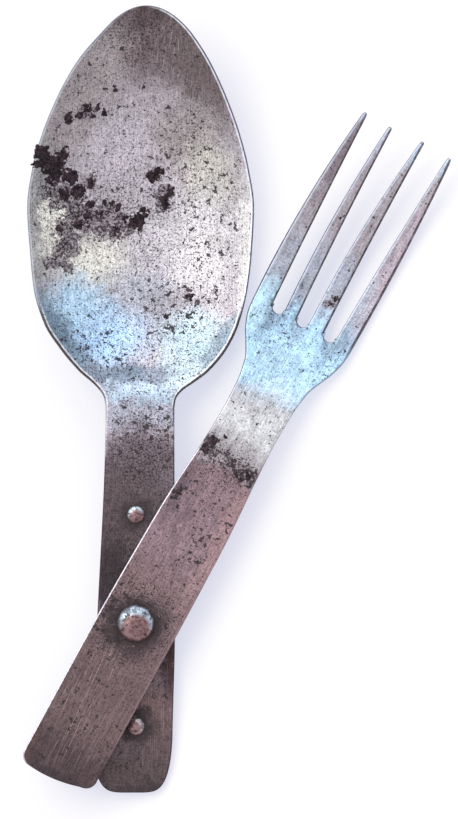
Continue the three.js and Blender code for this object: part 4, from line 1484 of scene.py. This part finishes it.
# What a tree makes on a carrier mesh, as a plain mesh of its own.
def grow(name, carrierMesh, tree, values):
    carrier = bpy.data.objects.new(name + "Carrier", carrierMesh)
    bpy.context.scene.collection.objects.link(carrier)
    modifier = carrier.modifiers.new("grow", "NODES")
    modifier.node_group = tree
    for identifier, value in values.items():
        modifier[identifier] = value
    graph = bpy.context.evaluated_depsgraph_get()
    mesh = bpy.data.meshes.new_from_object(carrier.evaluated_get(graph))
    carrier.modifiers.remove(modifier)
    bpy.data.objects.remove(carrier)
    mesh.name = name
    return mesh


def makeRivets():
    material = rivetMaterial()
    tree, ids = makeRivetTree(material)
    for name, rivet in rivets.items():
        sizes = {**rivet, "tailSeat": rivetTailSeat}
        values = {ids[key]: float(sizes[key]) for key in rivetInputs}
        mesh = grow(name, bpy.data.meshes.new(name + "Start"), tree, values)
        turned = bmesh.new()
        turned.from_mesh(mesh)
        bmesh.ops.recalc_face_normals(turned, faces=turned.faces[:])
        turned.to_mesh(mesh)
        turned.free()
        piece = finishPiece(name, mesh, handleTurn, "spoon_body", "rivet_steel", material)
        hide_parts(rivet["node"])
    print("rivets turned")


# Specks of rust that stand on the steel, scattered where it is most worn: their middling radius in
# mm, how flat they are, and how many lie on a square mm where they lie thickest.
specks = {"size": 0.075, "flat": 0.5, "most": 9.0}


def makeSpeckTree(material):
    tree = bpy.data.node_groups.new("rustSpeckle", "GeometryNodeTree")
    ids = {}
    tree.interface.new_socket("Geometry", in_out="INPUT", socket_type="NodeSocketGeometry")
    for name, kind in (("size", "Float"), ("flat", "Float"), ("most", "Float"), ("seed", "Int")):
        made = tree.interface.new_socket(name, in_out="INPUT", socket_type="NodeSocket" + kind)
        ids[name] = made.identifier
    tree.interface.new_socket("Geometry", in_out="OUTPUT", socket_type="NodeSocketGeometry")
    given = tree.nodes.new("NodeGroupInput").outputs
    where = addNode(tree, "GeometryNodeInputNamedAttribute", {"Name": "speckle"}, data_type="FLOAT")
    density = calc(tree, "MULTIPLY", where.outputs[0], given["most"])
    scatter = addNode(
        tree,
        "GeometryNodeDistributePointsOnFaces",
        {"Mesh": given["Geometry"], "Density": density, "Seed": given["seed"]},
        distribute_method="RANDOM",
    )
    grain = addNode(tree, "GeometryNodeMeshIcoSphere", {"Radius": 1.0, "Subdivisions": 1})
    chance = {2: 0.0, 3: 1.0, "Seed": given["seed"]}
    chance = addNode(tree, "FunctionNodeRandomValue", chance, data_type="FLOAT").outputs[1]
    # Many small specks and few large ones.
    spread = addShare(tree, 0.5, calc(tree, "POWER", chance, 4), 1.5)
    wide = calc(tree, "MULTIPLY", given["size"], spread)
    tall = calc(tree, "MULTIPLY", given["size"], given["flat"])
    scale = addNode(tree, "ShaderNodeCombineXYZ", {"X": wide, "Y": wide, "Z": tall}).outputs[0]
    placed = addNode(
        tree,
        "GeometryNodeInstanceOnPoints",
        {
            "Points": scatter.outputs["Points"],
            "Instance": grain.outputs["Mesh"],
            "Rotation": scatter.outputs["Rotation"],
            "Scale": scale,
        },
    )
    real = addNode(tree, "GeometryNodeRealizeInstances", {"Geometry": placed.outputs[0]})
    final = addNode(tree, "GeometryNodeSetMaterial", {"Geometry": real.outputs[0], "Material": material})
    tree.links.new(final.outputs[0], tree.nodes.new("NodeGroupOutput").inputs[0])
    return tree, ids


# How thickly specks lie at each point of a plan: soft ovals and a light cover everywhere.
def speckleAt(points, ovals, everywhere):
    cover = np.full(len(points), everywhere)
    for x, y, wide, tall, strength in ovals:
        off = np.hypot((points[:, 0] - x) / wide, (points[:, 1] - y) / tall)
        cover = np.maximum(cover, strength * (1 - ease(off, 0.4, 1.1)))
    clumps = fieldNoise(points, 1.8, 31)
    return cover * np.clip(0.6 + 2.2 * clumps, 0.1, 2)


def makeSpecks(name, source, settings, grown, seat, material):
    tree, ids = grown
    mesh = source.copy()
    plan = vertexPlan(mesh)
    top = np.zeros(len(plan), np.float32)
    mesh.attributes["top"].data.foreach_get("value", top)
    store(mesh, "speckle", speckleAt(plan, settings["ovals"], settings["everywhere"]) * top)
    values = {ids[key]: specks[key] for key in ("size", "flat", "most")}
    values[ids["seed"]] = settings["seed"]
    mesh = grow(name, mesh, tree, values)
    print(name, len(mesh.polygons), "faces")
    finishPiece(name, mesh, *seat, material)


spoonSpecks = {
    "seed": 4,
    "everywhere": 0.03,
    # Middle, width and height of each oval, and how thick it is there.
    "ovals": [
        (-10, 85, 12, 12, 0.5), (10, 75, 5, 5, 0.6), (9, 88, 9, 14, 0.2), (13, 63, 9, 6, 0.4),
        (-4, 58, 14, 6, 0.35), (5, 37, 4, 8, 0.6), (-10, 104, 9, 5, 0.3), (-16, 62, 5, 9, 0.25),
    ],
}
forkSpecks = {
    "seed": 7,
    "everywhere": 0.02,
    "ovals": [(1, 37.5, 9, 4, 0.9), (0, 57, 9, 8, 0.15), (-1, 28, 8, 7, 0.2), (0, 1, 6, 6, 0.15)],
}


def makeSpoon():
    outline, lower, thickness = spoonShape()
    holes = [circleHole((0, 0), spoon["pivotHole"])]
    holes += [circleHole((0, at), spoon["studHole"]) for at in spoon["studs"]]
    mesh = plateMesh("spoonSheet", outline, holes, lower, thickness, spoon, pitted)
    print("spoon sheet", len(mesh.polygons), "faces")
    return mesh, (spoon, outline, lower, thickness)


def makeFork():
    outline, lower, thickness = forkShape()
    holes = [circleHole((0, 0), fork["hole"])]
    mesh = plateMesh("forkSheet", outline, holes, lower, thickness, fork, forkPitted)
    print("fork sheet", len(mesh.polygons), "faces")
    return mesh, (fork, outline, lower, thickness)


def makeCutlery():
    spoonMesh, spoonPlate = makeSpoon()
    forkMesh, forkPlate = makeFork()
    spoonRust = crustMaterial("bowlRust", handleTurn)
    spoonPitted = crustMaterial("bowlPitted", handleTurn)
    forkRust = crustMaterial("forkRust", forkTurn)
    spoonSeat = (handleTurn, "spoon_body", "spoon_steel")
    forkSeat = (forkTurn, "fork_body", "fork_steel")
    grown = makeSpeckTree(spoonRust)
    makeSpecks("bowlSpecks", spoonMesh, spoonSpecks, grown, spoonSeat, spoonRust)
    makeSpecks("forkSpecks", forkMesh, forkSpecks, grown, forkSeat, forkRust)
    steel = wornSteel("spoonSteel", handleTurn, spoonLook)
    piece = finishPiece("spoonSheet", spoonMesh, *spoonSeat, steel)
    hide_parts("spoon")
    steel = wornSteel("forkSteel", forkTurn, forkLook)
    piece = finishPiece("forkSheet", forkMesh, *forkSeat, steel)
    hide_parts("fork")
    layers = [
        ("bowlCrust", crust, spoonPlate, spoonSeat, spoonRust),
        ("bowlPitted", pitted, spoonPlate, spoonSeat, spoonPitted),
        ("forkCrust", forkCrust, forkPlate, forkSeat, forkRust),
        ("forkPitted", forkPitted, forkPlate, forkSeat, forkRust),
    ]
    for name, settings, plate, seat, material in layers:
        finishPiece(name, crustMesh(name, settings, *plate), *seat, material)
    print("sheets and crust laid")


makeCutlery()
makeRivets()
washer = frame["nodes"]["pivot_washer"]
washer.data.materials.clear()
washer.data.materials.append(washerMaterial())
